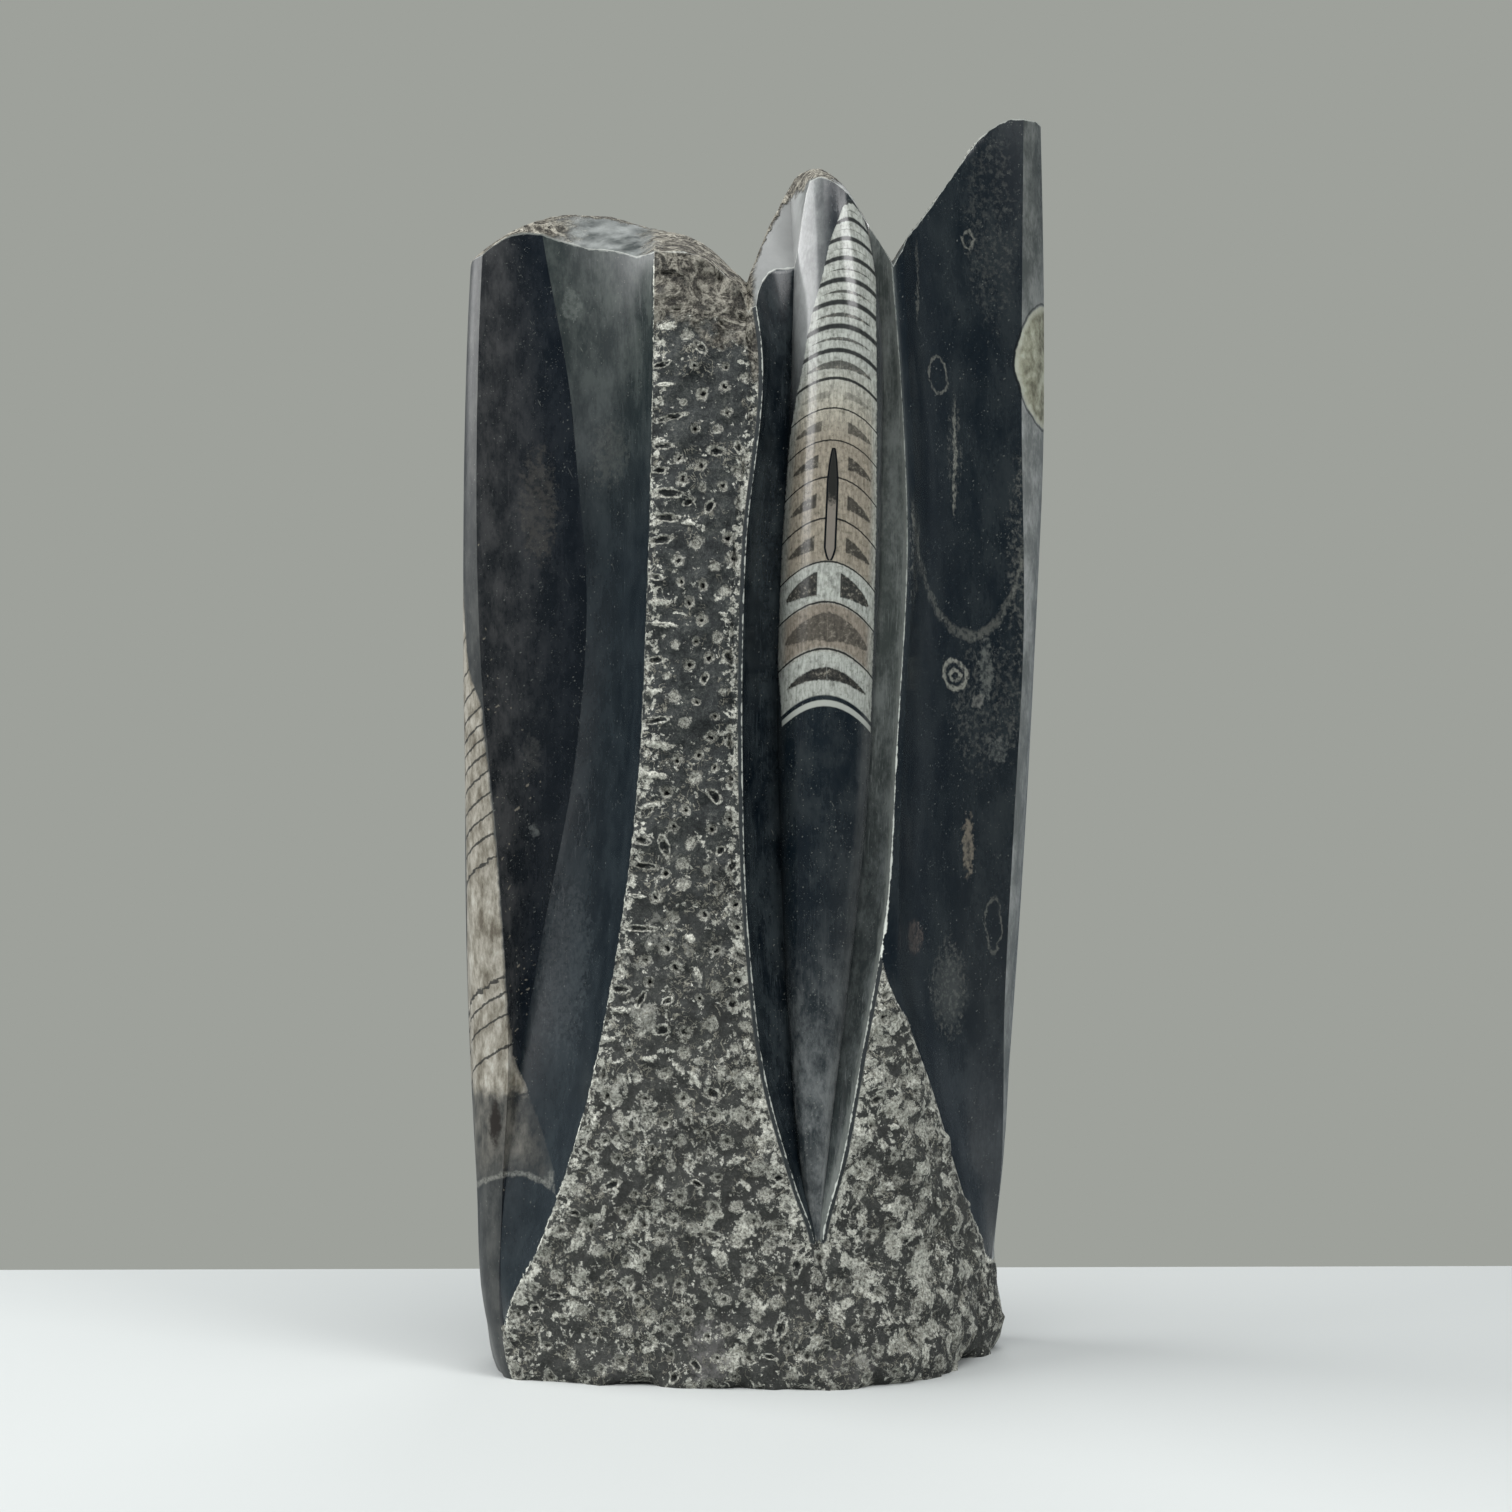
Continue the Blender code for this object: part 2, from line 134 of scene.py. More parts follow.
# One strip of surface, from its own carved line to the next strip's.  row_step is how many fine
# rows one of its faces spans.  A bow is how far it bulges at its middle as a share of its width,
# less than 0 for a hollow: polished_bow where the strip is polished, and ground_bow under tip,
# where it is chiselled.  half_round makes the bulge a half circle's.
Strip = namedtuple("Strip", "line columns row_step polished_bow ground_bow half_round tip finish")
STRIPS = [
    Strip(LEFT_EDGE, 8, 2, 0.16, 0.10, False, 0, "left_side"),
    Strip(LEFT_RIDGE, 9, 4, -0.07, 0, False, LEFT_FLUTE_TIP, "near_wall"),
    Strip(FLUTE_BED, 9, 4, -0.10, 0, False, LEFT_FLUTE_TIP, "far_wall"),
    Strip(FLUTE_ARRIS, 68, 1, 0.03, 0.03, False, SKY, "chiselled"),
    Strip(LEAF_LEFT, 6, 2, -0.12, 0, False, LEAF_TIP, "groove"),
    Strip(SPINDLE_LEFT, 24, 2, 0.46, 0.05, True, LEAF_TIP, "spindle"),
    Strip(SPINDLE_RIGHT, 6, 2, -0.12, 0, False, LEAF_TIP, "groove"),
    Strip(LEAF_RIGHT, 30, 1, -0.05, 0.13, False, WEDGE_TIP, "right_flute"),
    Strip(WEDGE_EDGE, 16, 4, -0.13, 0.04, False, RIGHT_FLUTE_TIP, "right_flute"),
    Strip(FLUTE_LIP, 3, 4, 0.06, 0.06, False, RIGHT_FLUTE_TIP, "right_side"),
    Strip(RIGHT_EDGE, 8, 4, 0.10, 0.10, False, 0, "right_side"),
    Strip(BACK_RIGHT, 24, 2, 0.04, 0.04, False, SKY, "chiselled"),
    Strip(BACK_RIGHT_ARRIS, 4, 2, -0.10, 0, False, BACK_RIGHT_TIP, "far_wall"),
    Strip(BACK_RIGHT_BED, 4, 2, -0.10, 0, False, BACK_RIGHT_TIP, "far_wall"),
    Strip(BACK_RIGHT_CREST, 22, 2, 0.03, 0.03, False, SKY, "chiselled"),
    Strip(BACK_LEFT_CREST, 4, 2, -0.10, 0, False, BACK_LEFT_TIP, "far_wall"),
    Strip(BACK_LEFT_BED, 4, 2, -0.10, 0, False, BACK_LEFT_TIP, "far_wall"),
    Strip(BACK_LEFT_ARRIS, 40, 2, 0.03, 0.03, False, SKY, "chiselled"),
    Strip(BACK_LEFT, 10, 4, 0.12, 0.12, False, 0, "left_side"),
]
FRONT_STRIPS = 10       # the first ten face the front; the rest go round the back
LEAF_LINES = (4, 7)     # the strips that start at the leaf's two arrises
DRESSED_STRIP = 3       # the strip of chiselled ground left of the leaf
WEDGE_STRIP = 7
NOTCH_LINES = ((4, 16), (7, 13))    # the front and back strips that start in each notch

# ---------------------------------------------------------------- the fossils

# The orthoceras on the spindle: its two outlines up the stone as (height, x), and the heights of
# its chamber walls on its middle line, from the narrow end down
ORTHOCERAS_LEFT = [(184, 4.6), (187, 4.5), (201, 3.5), (223, 4.2), (235, 4.8), (248, 5.7), (264.5, 6.9),
                   (277, 9), (285, 10.6), (293, 11.8), (300, 13.3), (308, 15.6), (320, 18.3), (331, 22.3),
                   (340, 26)]
ORTHOCERAS_RIGHT = [(184, 29.9), (197, 30.3), (220, 31), (246, 31.6), (285, 31.6), (300, 31.5),
                    (310, 31.7), (317, 30.9), (325, 29.1), (330, 27.1), (340, 26.5)]
CHAMBER_WALLS = (338, 332.2, 326.6, 320.7, 314.9, 308.4, 301.9, 295.0, 288.2, 280.25, 271.8, 262.8,
                 252.4, 240.9, 228.7, 217.5, 204.3, 191.2, 178, 165)
WALLS_ABOVE = 2         # the first two only carry the numbering on past the tip
WALL_SAG = [(180, 6.3), (200, 7.0), (240, 7.4), (262, 5.8), (285, 3.8), (300, 2.9), (330, 2.2)]
WALL_TILT = 0.85        # the walls' right ends lie lower by twice this

# The fossil round the left edge: how far it starts from the left ridge, and its chamber walls
CHEEK_START = [(50, -16), (59, -15), (67, -12), (78, -7), (90, -1.5), (110, 0), (160, 0.2),
               (190, 1), (200, 8), (230, 14)]
CHEEK_END = [(50, 40), (58, 40), (150, 34), (235, 14)]
CHEEK_WALLS = (250, 225, 213, 203, 196, 189.9, 185, 181.1, 176.6, 171.4, 165.4, 159.7, 154, 148, 112,
               108.6, 102.3, 93.2, 77.7, 60, 40)
CHEEK_SWEEP = 0.35      # how steeply those walls fall towards the front
CHEEK_TOP = 235.0
CHEEK_REACH = 30.0      # how far round the front it may come
CHEEK_ARCH = (-70.0, 56.0)  # top of the arch that ends it below
CHEEK_ARCH_FALL = 0.03  # and how fast that falls away to either side

# ---------------------------------------------------------------- the chisel work

LEAF_BEVEL = 1.2        # polished bevel left along the leaf's arrises
BLOW_SEED = 11
BLOW_GAP = 5.6          # least distance between the blows of the point
BLOW_MARGIN = 1.5       # and from the edge of the dressing
BLOW_RADIUS = (1.3, 2.3)
BLOW_DEPTH = 1.0
CLOSE_BLOWS = 5         # how many blows around a point may reach it
SCAR_SHARE = 0.17       # share of the blows that glanced off and left a long scar
SCAR_STRETCH = (1.5, 2.5)
STROKE_HEIGHTS = (96, 330)  # where the chisel was drawn in level strokes from the flute's arris
STROKE_GAP = (5.5, 11.0)
STROKE_HALF_LENGTH = (2.6, 5.6)
STROKE_HALF_WIDTH = (0.8, 1.5)
STROKE_OVERLAP = 0.4    # how far a stroke starts outside the arris
# A blow's kind runs from 0 to 1: plain patches, then patches with a pit, long scars and bars
PITTED = 0.25
LONG = 0.6
BAR = 0.8
GRAIN_RELIEF = 0.45     # broken grain between the blows
GRAIN_LUMP = 2.6
DRESSING_FADE = 1.6     # distance over which the chisel work fades in from the polish
RIDGE_FADE = 3.0        # and the crown's roughness behind its ridge
FAR = 50.0              # stored on the crown, where there is no arris, dressing or blow


def smooth(points, at):
    """Read the smooth curve through (position, values...) points at the positions given."""
    table = np.array(points, float)
    knots = table[:, 0]
    values = table[:, 1:]
    slopes = np.gradient(values, knots, axis=0)
    i = np.clip(np.searchsorted(knots, at) - 1, 0, len(knots) - 2)
    span = (knots[i + 1] - knots[i])[..., None]
    t = np.clip((at - knots[i])[..., None] / span, 0, 1)
    rise = values[i + 1] - values[i]
    start = slopes[i] * span - rise
    end = rise - slopes[i + 1] * span
    return values[i] + t * rise + t * (1 - t) * ((1 - t) * start + t * end)


def read(table, at):
    """Read a table of (position, value), straight between its points."""
    return np.interp(at, [row[0] for row in table], [row[1] for row in table])


def crown_height(x, y):
    """Height of the sawn top over a point of the plan."""
    height = np.zeros_like(x)
    for lobe in LOBES:
        inside = (x >= lobe[0][0]) & (x <= lobe[-1][0])
        height = np.where(inside, smooth(lobe, x)[..., 0], height)
    behind = behind_ridge(x, y)
    bevel = np.logaddexp(0, -behind / RIDGE_ROUNDING) * RIDGE_ROUNDING
    return height - read(FRONT_FALL, x) * bevel - BACK_FALL * np.maximum(behind, 0)


def behind_ridge(x, y):
    """How far a point of the plan lies behind the crown's ridge."""
    return y - read(CROWN_RIDGE, x)


def column_places():
    """The strip and the share of its width for every column, once round the stone."""
    strip_of = []
    share = []
    for number, strip in enumerate(STRIPS):
        step = np.arange(strip.columns) / strip.columns
        strip_of += [number] * strip.columns
        share += list((1 - np.cos(pi * step)) / 2 if strip.half_round else step)
    return np.array(strip_of), np.array(share)


def strip_edges(number, heights):
    """Plan places of one strip's two edges at the heights given."""
    following = STRIPS[(number + 1) % len(STRIPS)]
    return smooth(STRIPS[number].line, heights), smooth(following.line, heights)


def wall(heights, strip_of, share):
    """Plan position of each column at its heights: an array of rows, columns and (x, y)."""
    place = np.zeros(heights.shape + (2,))
    for number, strip in enumerate(STRIPS):
        here = strip_of == number
        start, end = strip_edges(number, heights[:, here])
        chord = end - start
        outward = np.stack([chord[..., 1], -chord[..., 0]], axis=-1)
        polish = np.clip((heights[:, here] - strip.tip) / RUN_OUT, 0, 1)[..., None]
        bow = strip.ground_bow + polish * (strip.polished_bow - strip.ground_bow)
        s = share[here][None, :, None]
        arch = 4 * s * (1 - s)
        if strip.half_round:
            arch = np.sqrt(arch)
        place[:, here] = start + chord * s + outward * bow * arch
    return place


def trimmed_heights(strip_of, share):
    """Heights of every row of every column, ending where the column meets the crown."""
    top = np.full((1, len(share)), HEIGHT)
    for _ in range(TRIM_STEPS):
        place = wall(top, strip_of, share)
        top = crown_height(place[..., 0], place[..., 1])
    return np.linspace(0, 1, ROWS + 1)[:, None] * top


def outward_normals(place):
    """The level direction straight out of the wall at each of its points."""
    along = np.roll(place, -1, axis=1) - np.roll(place, 1, axis=1)
    outward = np.stack([along[..., 1], -along[..., 0]], axis=-1)
    return outward / np.linalg.norm(outward, axis=-1, keepdims=True)


def search_tree(points):
    """A tree that finds the nearest of the points."""
    tree = KDTree(len(points))
    for number, point in enumerate(points):
        tree.insert(point, number)
    tree.balance()
    return tree


def nearest(tree_points, points):
    """For each point: the number of the nearest tree point, and how far off it is."""
    tree = search_tree(tree_points)
    found = [tree.find(point)[1:] for point in points]
    return np.array([f[0] for f in found]), np.array([f[1] for f in found])


def ground_tips(strip_of, share):
    """Height under which each column's ground is chiselled."""
    tips = np.array([STRIPS[number].tip for number in strip_of])
    return tips - WEDGE_SLANT * share * (strip_of == WEDGE_STRIP)


def on_strip(number, heights, share):
    """Points of one strip at a share of its width, at the heights given."""
    start, end = strip_edges(number, heights)
    return np.column_stack([start + (end - start) * share, heights])


def dressing_edges():
    """Points along every edge between polished and chiselled stone: the leaf's, then the rest."""
    heights = np.arange(0, SKY, EDGE_STEP)
    leaf = []
    others = []
    for number, strip in enumerate(STRIPS):
        before = STRIPS[number - 1].tip - WEDGE_SLANT * (number - 1 == WEDGE_STRIP)
        edge = (heights < strip.tip) != (heights < before)
        points = on_strip(number, heights[edge], 0.0)
        (leaf if number in LEAF_LINES else others).append(points)
        if 0 < strip.tip < SKY:
            for share in np.linspace(0, 1, 25):
                tip = ground_tips(np.array([number]), share)
                others.append(on_strip(number, tip, share))
    return np.concatenate(leaf), np.concatenate(others)


def leaf_arrises():
    """Points along both arrises of the leaf-shaped groove."""
    heights = np.arange(LEAF_TIP, SKY, EDGE_STEP)
    return np.concatenate([on_strip(number, heights, 0.0) for number in LEAF_LINES])


def lumps(points, size, seed=0.0):
    """Smooth noise from -1 to 1 at each point, with lumps of the size given."""
    shift = Vector((0, 0, seed))
    return np.array([noise.noise((Vector(p) + shift) / size) for p in points])


def chisel_relief(points):
    """How far the chiselled ground stands in or out, from its blunt blows and its broken grain."""
    broad = lumps(points, GROUND_LUMP)
    close = lumps(points, GROUND_LUMP * 0.45, 50)
    grain = lumps(points, GRAIN_LUMP, 90) + 0.5 * lumps(points, GRAIN_LUMP * 0.45, 30)
    return GROUND_RELIEF * (broad + 0.6 * close) + GRAIN_RELIEF * grain


def worn_foot(points):
    """How far the bottom edge is pulled in by wear and by the flakes knocked out of it."""
    share = np.clip(1 - points[:, 2] / FOOT_HEIGHT, 0, 1) ** 2
    flakes = np.maximum(0, 2 * lumps(points * (1, 1, 0), FLAKE_LENGTH))
    return share * (FOOT_ROUNDING + FOOT_FLAKE * flakes)


def orthoceras_place(points):
    """Where each point lies in the spindle's fossil: -1 to 1 across it, and chambers along it."""
    x, _, z = points.T
    left = read(ORTHOCERAS_LEFT, z)
    right = read(ORTHOCERAS_RIGHT, z)
    across = (2 * x - left - right) / (right - left)
    side = np.clip(across, -1.3, 1.3)
    level = z + read(WALL_SAG, z) * side ** 2 + WALL_TILT * side
    along = np.interp(-level, [-height for height in CHAMBER_WALLS], range(len(CHAMBER_WALLS)))
    return np.column_stack([across, along - WALLS_ABOVE, np.zeros(len(x))])


def cheek_place(points):
    """How far each point lies inside the left edge's fossil, and chambers along it."""
    x, y, z = points.T
    ridge = smooth(LEFT_RIDGE, z)
    beside = x - ridge[:, 0]
    behind = y - ridge[:, 1]
    round_edge = np.where((beside > 0) & (y < 0), -beside, behind - 0.9 * beside)
    inside = np.minimum(round_edge - read(CHEEK_START, z), read(CHEEK_END, z) - round_edge)
    arch = CHEEK_ARCH[1] - CHEEK_ARCH_FALL * (x - CHEEK_ARCH[0]) ** 2
    for room in (z - arch, CHEEK_TOP - z, CHEEK_REACH - beside):
        inside = np.minimum(inside, room)
    level = z + CHEEK_SWEEP * round_edge
    walls = -np.array(CHEEK_WALLS, float)
    along = np.interp(-level, walls, range(len(walls)))
    spacing = np.interp(-level, (walls[1:] + walls[:-1]) / 2, np.diff(walls))
    return np.column_stack([inside, along, spacing])


Blows = namedtuple("Blows", "centre sideways lean half_length half_width kind")


def level_strokes(draw):
    """Centres of the level strokes drawn in from the left flute's arris, and their half lengths."""
    centres = []
    lengths = []
    height = STROKE_HEIGHTS[0]
    while height < STROKE_HEIGHTS[1]:
        start, end = (edge[0] for edge in strip_edges(DRESSED_STRIP, np.array([height])))
        length = draw.uniform(*STROKE_HALF_LENGTH)
        inward = (end - start) / np.linalg.norm(end - start)
        centres.append([*(start + inward * (length - STROKE_OVERLAP)), height])
        lengths.append(length)
        height += draw.uniform(*STROKE_GAP)
    return np.array(centres), np.array(lengths)


def spread_blows(points, depth_in, taken, draw):
    """Pick where the point struck: anywhere on the ground, but not too near another blow."""
    chosen = taken
    for number in draw.permutation(np.flatnonzero(depth_in > BLOW_MARGIN)):
        if np.linalg.norm(chosen - points[number], axis=1).min() > BLOW_GAP:
            chosen = np.vstack([chosen, points[number]])
    return chosen[len(taken):]


def make_blows(points, out, depth_in):
    """Every mark of the point chisel on the ground."""
    draw = np.random.default_rng(BLOW_SEED)
    strokes, stroke_lengths = level_strokes(draw)
    struck = spread_blows(points, depth_in, strokes, draw)
    few, many = len(strokes), len(struck)
    radius = draw.uniform(*BLOW_RADIUS, many)
    scar = draw.random(many) < SCAR_SHARE
    stretch = np.where(scar, draw.uniform(*SCAR_STRETCH, many), draw.uniform(1.0, 1.2, many))
    lean = np.concatenate([draw.uniform(-0.2, 0.2, few), draw.uniform(-pi / 2, pi / 2, many)])
    kind = np.where(scar, draw.uniform(LONG, 1.0, many), draw.uniform(0.0, LONG, many))
    centre = np.vstack([strokes, struck])
    nearest_point, _ = nearest(points, centre)
    normal = out[nearest_point]
    return Blows(
        centre, np.column_stack([-normal[:, 1], normal[:, 0], np.zeros(len(centre))]), lean,
        np.concatenate([stroke_lengths, radius * np.sqrt(stretch)]),
        np.concatenate([draw.uniform(*STROKE_HALF_WIDTH, few), radius / np.sqrt(stretch)]),
        np.concatenate([draw.uniform(LONG, 1.0, few), kind]))


def blow_places(blows, points):
    """For each point, its place in the blow that reaches it most: along it, across it and how far
    out, with 1 on the blow's rim.  The blow's kind comes last."""
    tree = search_tree(blows.centre)
    close = np.array([[found[1] for found in tree.find_n(point, CLOSE_BLOWS)] for point in points])
    apart = points[:, None] - blows.centre[close]
    sideways = (apart * blows.sideways[close]).sum(axis=2)
    upright = apart[..., 2]
    lean = blows.lean[close]
    along = (np.cos(lean) * sideways + np.sin(lean) * upright) / blows.half_length[close]
    across = (np.cos(lean) * upright - np.sin(lean) * sideways) / blows.half_width[close]
    reach = np.hypot(along, across)
    best = reach.argmin(axis=1)[:, None]
    picked = [np.take_along_axis(values, best, axis=1)[:, 0] for values in (along, across, reach)]
    return np.column_stack(picked), blows.kind[close][np.arange(len(points)), best[:, 0]]


def blow_relief(reach, kind):
    """How far a blow stands out: round ones are pits with crushed rims, long ones grooves or bars."""
    pit = -np.exp(-(reach / 0.45) ** 2)
    bowl = -0.35 * np.exp(-(reach / 0.9) ** 2)
    rim = 0.35 * np.exp(-((reach - 1.05) / 0.28) ** 2)
    bar = 0.9 * np.exp(-(reach / 0.75) ** 2)
    return BLOW_DEPTH * np.select([kind < PITTED, kind < BAR], [bowl + rim, pit + bowl + rim], bar)


def wall_faces(strip_of):
    """The wall's faces, and the row and column of each.  Where a fine strip meets a coarse one, the
    coarse face takes in the fine strip's corners, so the mesh stays closed."""
    columns = len(strip_of)
    step = np.array([STRIPS[number].row_step for number in strip_of])
    edge_step = np.minimum(step, np.roll(step, 1))
    faces = []
    places = []
    for c in range(columns):
        after = (c + 1) % columns
        for r in range(0, ROWS, step[c]):
            up = [row * columns + after for row in range(r, r + step[c] + 1, edge_step[after])]
            down = [row * columns + c for row in range(r + step[c], r - 1, -edge_step[c])]
            faces.append(up + down)
            places.append((r + step[c] // 2, c))
    return faces, places


def run_share(points):
    """Share of the way along a run of points at each of them."""
    steps = np.linalg.norm(np.diff(points[:, :2], axis=0), axis=1)
    length = np.concatenate([[0], np.cumsum(steps)])
    return length / length[-1]


def zip_faces(near, far, near_at, far_at):
    """Join two runs of vertices with triangles, keeping them level with each other."""
    faces = []
    i = j = 0
    while i < len(near) - 1 or j < len(far) - 1:
        if j == len(far) - 1 or (i < len(near) - 1 and near_at[i + 1] <= far_at[j + 1]):
            faces.append((near[i], near[i + 1], far[j]))
            i += 1
        else:
            faces.append((near[i], far[j + 1], far[j]))
            j += 1
    return [face for face in faces if len(set(face)) == 3]


def crown(rim, rim_numbers, strip_of, first_number):
    """Close the top from the front rim to the back rim: its new vertices, and its faces."""
    starts = [int(np.flatnonzero(strip_of == number)[0]) for number in range(len(STRIPS))]
    columns = len(strip_of)
    front_count = starts[FRONT_STRIPS]
    front_stops = [0] + [starts[front] for front, _ in NOTCH_LINES] + [front_count]
    back_stops = [columns] + [starts[back] for _, back in NOTCH_LINES] + [front_count]
    closed_rim = np.vstack([rim, rim[:1]])
    front_at = np.zeros(front_count + 1)
    back_numbers = np.arange(columns, front_count - 1, -1)
    back_at = np.zeros(len(back_numbers))
    for part in range(len(front_stops) - 1):
        front = slice(front_stops[part], front_stops[part + 1] + 1)
        back = slice(columns - back_stops[part], columns - back_stops[part + 1] + 1)
        front_at[front] = part + run_share(closed_rim[front])
        back_at[back] = part + run_share(closed_rim[back_numbers[back]])
    back_rim = closed_rim[back_numbers]
    target = np.column_stack([np.interp(front_at, back_at, back_rim[:, k]) for k in range(2)])

    rows = [rim_numbers[:front_count + 1]]
    made = []
    number = first_number
    for step in range(1, CROWN_ROWS):
        across = (step / CROWN_ROWS) ** CROWN_CROWDING
        spot = rim[1:front_count, :2] * (1 - across) + target[1:front_count] * across
        made.append(np.column_stack([spot, crown_height(spot[:, 0], spot[:, 1])]))
        row = np.arange(number, number + front_count - 1)
        rows.append(np.concatenate([rim_numbers[:1], row, rim_numbers[front_count:front_count + 1]]))
        number += front_count - 1
    faces = []
    for near, far in zip(rows, rows[1:]):
        for c in range(front_count):
            corners = dict.fromkeys((near[c], near[c + 1], far[c + 1], far[c]))
            faces.append(list(corners))
    back_row = rim_numbers[back_numbers % columns]
    faces += zip_faces(rows[-1], back_row, front_at, back_at)
    return np.concatenate(made), faces


def store(mesh, name, values):
    """Keep one number or vector for each vertex where the materials can read it."""
    vector = values.ndim == 2
    kind = "FLOAT_VECTOR" if vector else "FLOAT"
    attribute = mesh.attributes.new(name, kind, "POINT")
    attribute.data.foreach_set("vector" if vector else "value", values.astype(np.float32).ravel())


def ground_and_dressing(points, strip_of, share, on_line):
    """Which points lie on chiselled ground, and how far in each lies from the edge of the dressing:
    less than 0 in the polish."""
    tips = ground_tips(strip_of, share)
    line_tips = np.where(on_line, np.minimum(tips, np.roll(tips, 1)), tips)
    ground = points[:, 2] < np.tile(line_tips, ROWS + 1)
    leaf_edge, other_edges = dressing_edges()
    _, to_leaf = nearest(leaf_edge, points)
    _, to_others = nearest(other_edges, points)
    dressing = np.minimum(to_others, to_leaf - LEAF_BEVEL)
    return ground, np.where(ground, dressing, -np.minimum(to_others, to_leaf))


def work_ground(points, out, ground, dressing):
    """How far each point of the wall moves out under the chisel, and its place in the blows."""
    worked = np.clip(dressing / DRESSING_FADE, 0, 1)
    here = worked > 0
    move = np.zeros(len(points))
    move[here] = worked[here] * chisel_relief(points[here])
    move -= worn_foot(points)
    depth_in = np.where(ground, dressing, 0)
    blow, kind = blow_places(make_blows(points, out, depth_in), points)
    move += np.clip(depth_in, 0, 1) * blow_relief(blow[:, 2], kind)
    return move, blow, kind


def stone_faces(strip_of, heights, tips, finishes):
    """The faces of the wall and the foot, and the number of each one's finish."""
    faces, places = wall_faces(strip_of)
    kinds = []
    for row, column in places:
        chiselled = heights[row, column] < tips[column]
        kinds.append(finishes.index("chiselled" if chiselled else STRIPS[strip_of[column]].finish))
    faces.append(list(range(len(strip_of)))[::-1])
    kinds.append(finishes.index("sawn"))
    return faces, kinds


def shape_stone(finishes):
    """Shape the stone: its points, its faces, each face's finish, what the finishes read at each
    point, and which points lie on a carved line that stays sharp."""
    strip_of, share = column_places()
    heights = trimmed_heights(strip_of, share)
    place = wall(heights, strip_of, share)
    out = outward_normals(place).reshape(-1, 2)
    carved = np.column_stack([place.reshape(-1, 2), heights.ravel()])
    on_line = strip_of != np.roll(strip_of, 1)
    ground, dressing = ground_and_dressing(carved, strip_of, share, on_line)
    move, blow, blow_kind = work_ground(carved, out, ground, dressing)
    points = carved.copy()
    points[:, :2] += out * move[:, None]
    _, to_arris = nearest(leaf_arrises(), carved)

    faces, kinds = stone_faces(strip_of, heights, ground_tips(strip_of, share), finishes)
    columns = len(strip_of)
    rim_numbers = np.arange(ROWS * columns, (ROWS + 1) * columns)
    top, top_faces = crown(points[rim_numbers], rim_numbers, strip_of, len(points))
    faces += top_faces
    kinds += [finishes.index("broken")] * len(top_faces)
    front = points[rim_numbers[1:int(np.argmax(strip_of == FRONT_STRIPS))], :2]
    from_rim = np.linalg.norm(top[:, :2] - np.tile(front, (CROWN_ROWS - 1, 1)), axis=1)
    behind = behind_ridge(top[:, 0], top[:, 1])
    top[:, 2] += np.clip(behind / RIDGE_FADE, 0, 1) * CROWN_RELIEF * lumps(top, CROWN_LUMP)

    carved = np.vstack([carved, top])
    extra = len(top)
    values = {
        "dressing": np.concatenate([dressing, np.full(extra, -FAR)]),
        "leaf_arris": np.concatenate([to_arris, np.full(extra, FAR)]),
        "blow": np.vstack([blow, np.full((extra, 3), FAR)]),
        "blow_kind": np.concatenate([blow_kind, np.zeros(extra)]),
        "from_rim": np.concatenate([(heights[-1] - heights).ravel(), from_rim]),
        "girth": np.concatenate([np.tile(strip_of + share, ROWS + 1), np.zeros(extra)]),
        "behind_ridge": np.concatenate([behind_ridge(*place.reshape(-1, 2).T), behind]),
        "orthoceras": orthoceras_place(carved),
        "cheek_fossil": cheek_place(carved),
    }
    sharp = np.concatenate([np.tile(on_line, ROWS + 1) & ~ground, np.zeros(extra, bool)])
    return np.vstack([points, top]), faces, kinds, values, sharp


def add_object(name, data, place=(0, 0, 0), turn=(0, 0, 0)):
    """Put something in the scene."""
    thing = bpy.data.objects.new(name, data)
    thing.location = place
    thing.rotation_euler = turn
    bpy.context.scene.collection.objects.link(thing)
    return thing


def make_stone(materials):
    """Model the whole stone as one closed mesh."""
    points, faces, kinds, values, sharp = shape_stone(list(materials))
    used = np.zeros(len(points), bool)
    used[[number for face in faces for number in face]] = True
    renumber = np.cumsum(used) - 1
    faces = [[int(renumber[number]) for number in face] for face in faces]
    points = (points[used] - (*MIDDLE, 0)) * MM
    points = np.clip(points, np.array(STONE_BOX[0]), np.array(STONE_BOX[1]))

    mesh = bpy.data.meshes.new("orthoceras_stone_finish")
    mesh.from_pydata(points, [], faces)
    for material in materials.values():
        mesh.materials.append(material)
    mesh.polygons.foreach_set("material_index", kinds)
    for name, array in values.items():
        store(mesh, name, array[used])
    mesh.shade_smooth()
    mesh.set_sharp_from_angle(angle=radians(SHARP_EDGE))
    sharp = sharp[used]
    for edge in mesh.edges:
        if sharp[edge.vertices[0]] and sharp[edge.vertices[1]]:
            edge.use_edge_sharp = True
    mesh.validate()
    mesh.update()
    return add_object("orthoceras_stone_finish", mesh)


# ---------------------------------------------------------------- shader building blocks

def sign(operation, flipped=False):
    """An arithmetic sign between two terms, or a term and a number: it adds one Math node."""
    def apply(term, other):
        return maths(operation, *((other, term) if flipped else (term, other)))
    return apply


class Term:
    """A value in a shader tree.  Arithmetic on it adds Math nodes to the tree."""

    __add__ = __radd__ = sign("ADD")
    __sub__ = sign("SUBTRACT")
    __rsub__ = sign("SUBTRACT", flipped=True)
    __mul__ = __rmul__ = sign("MULTIPLY")
    __truediv__ = sign("DIVIDE")
    __rtruediv__ = sign("DIVIDE", flipped=True)
    __pow__ = sign("POWER")
    __lt__ = sign("LESS_THAN")
    __gt__ = sign("GREATER_THAN")

    def __init__(self, tree, socket):
        self.tree = tree
        self.socket = socket

    def __abs__(self):
        return maths("ABSOLUTE", self)


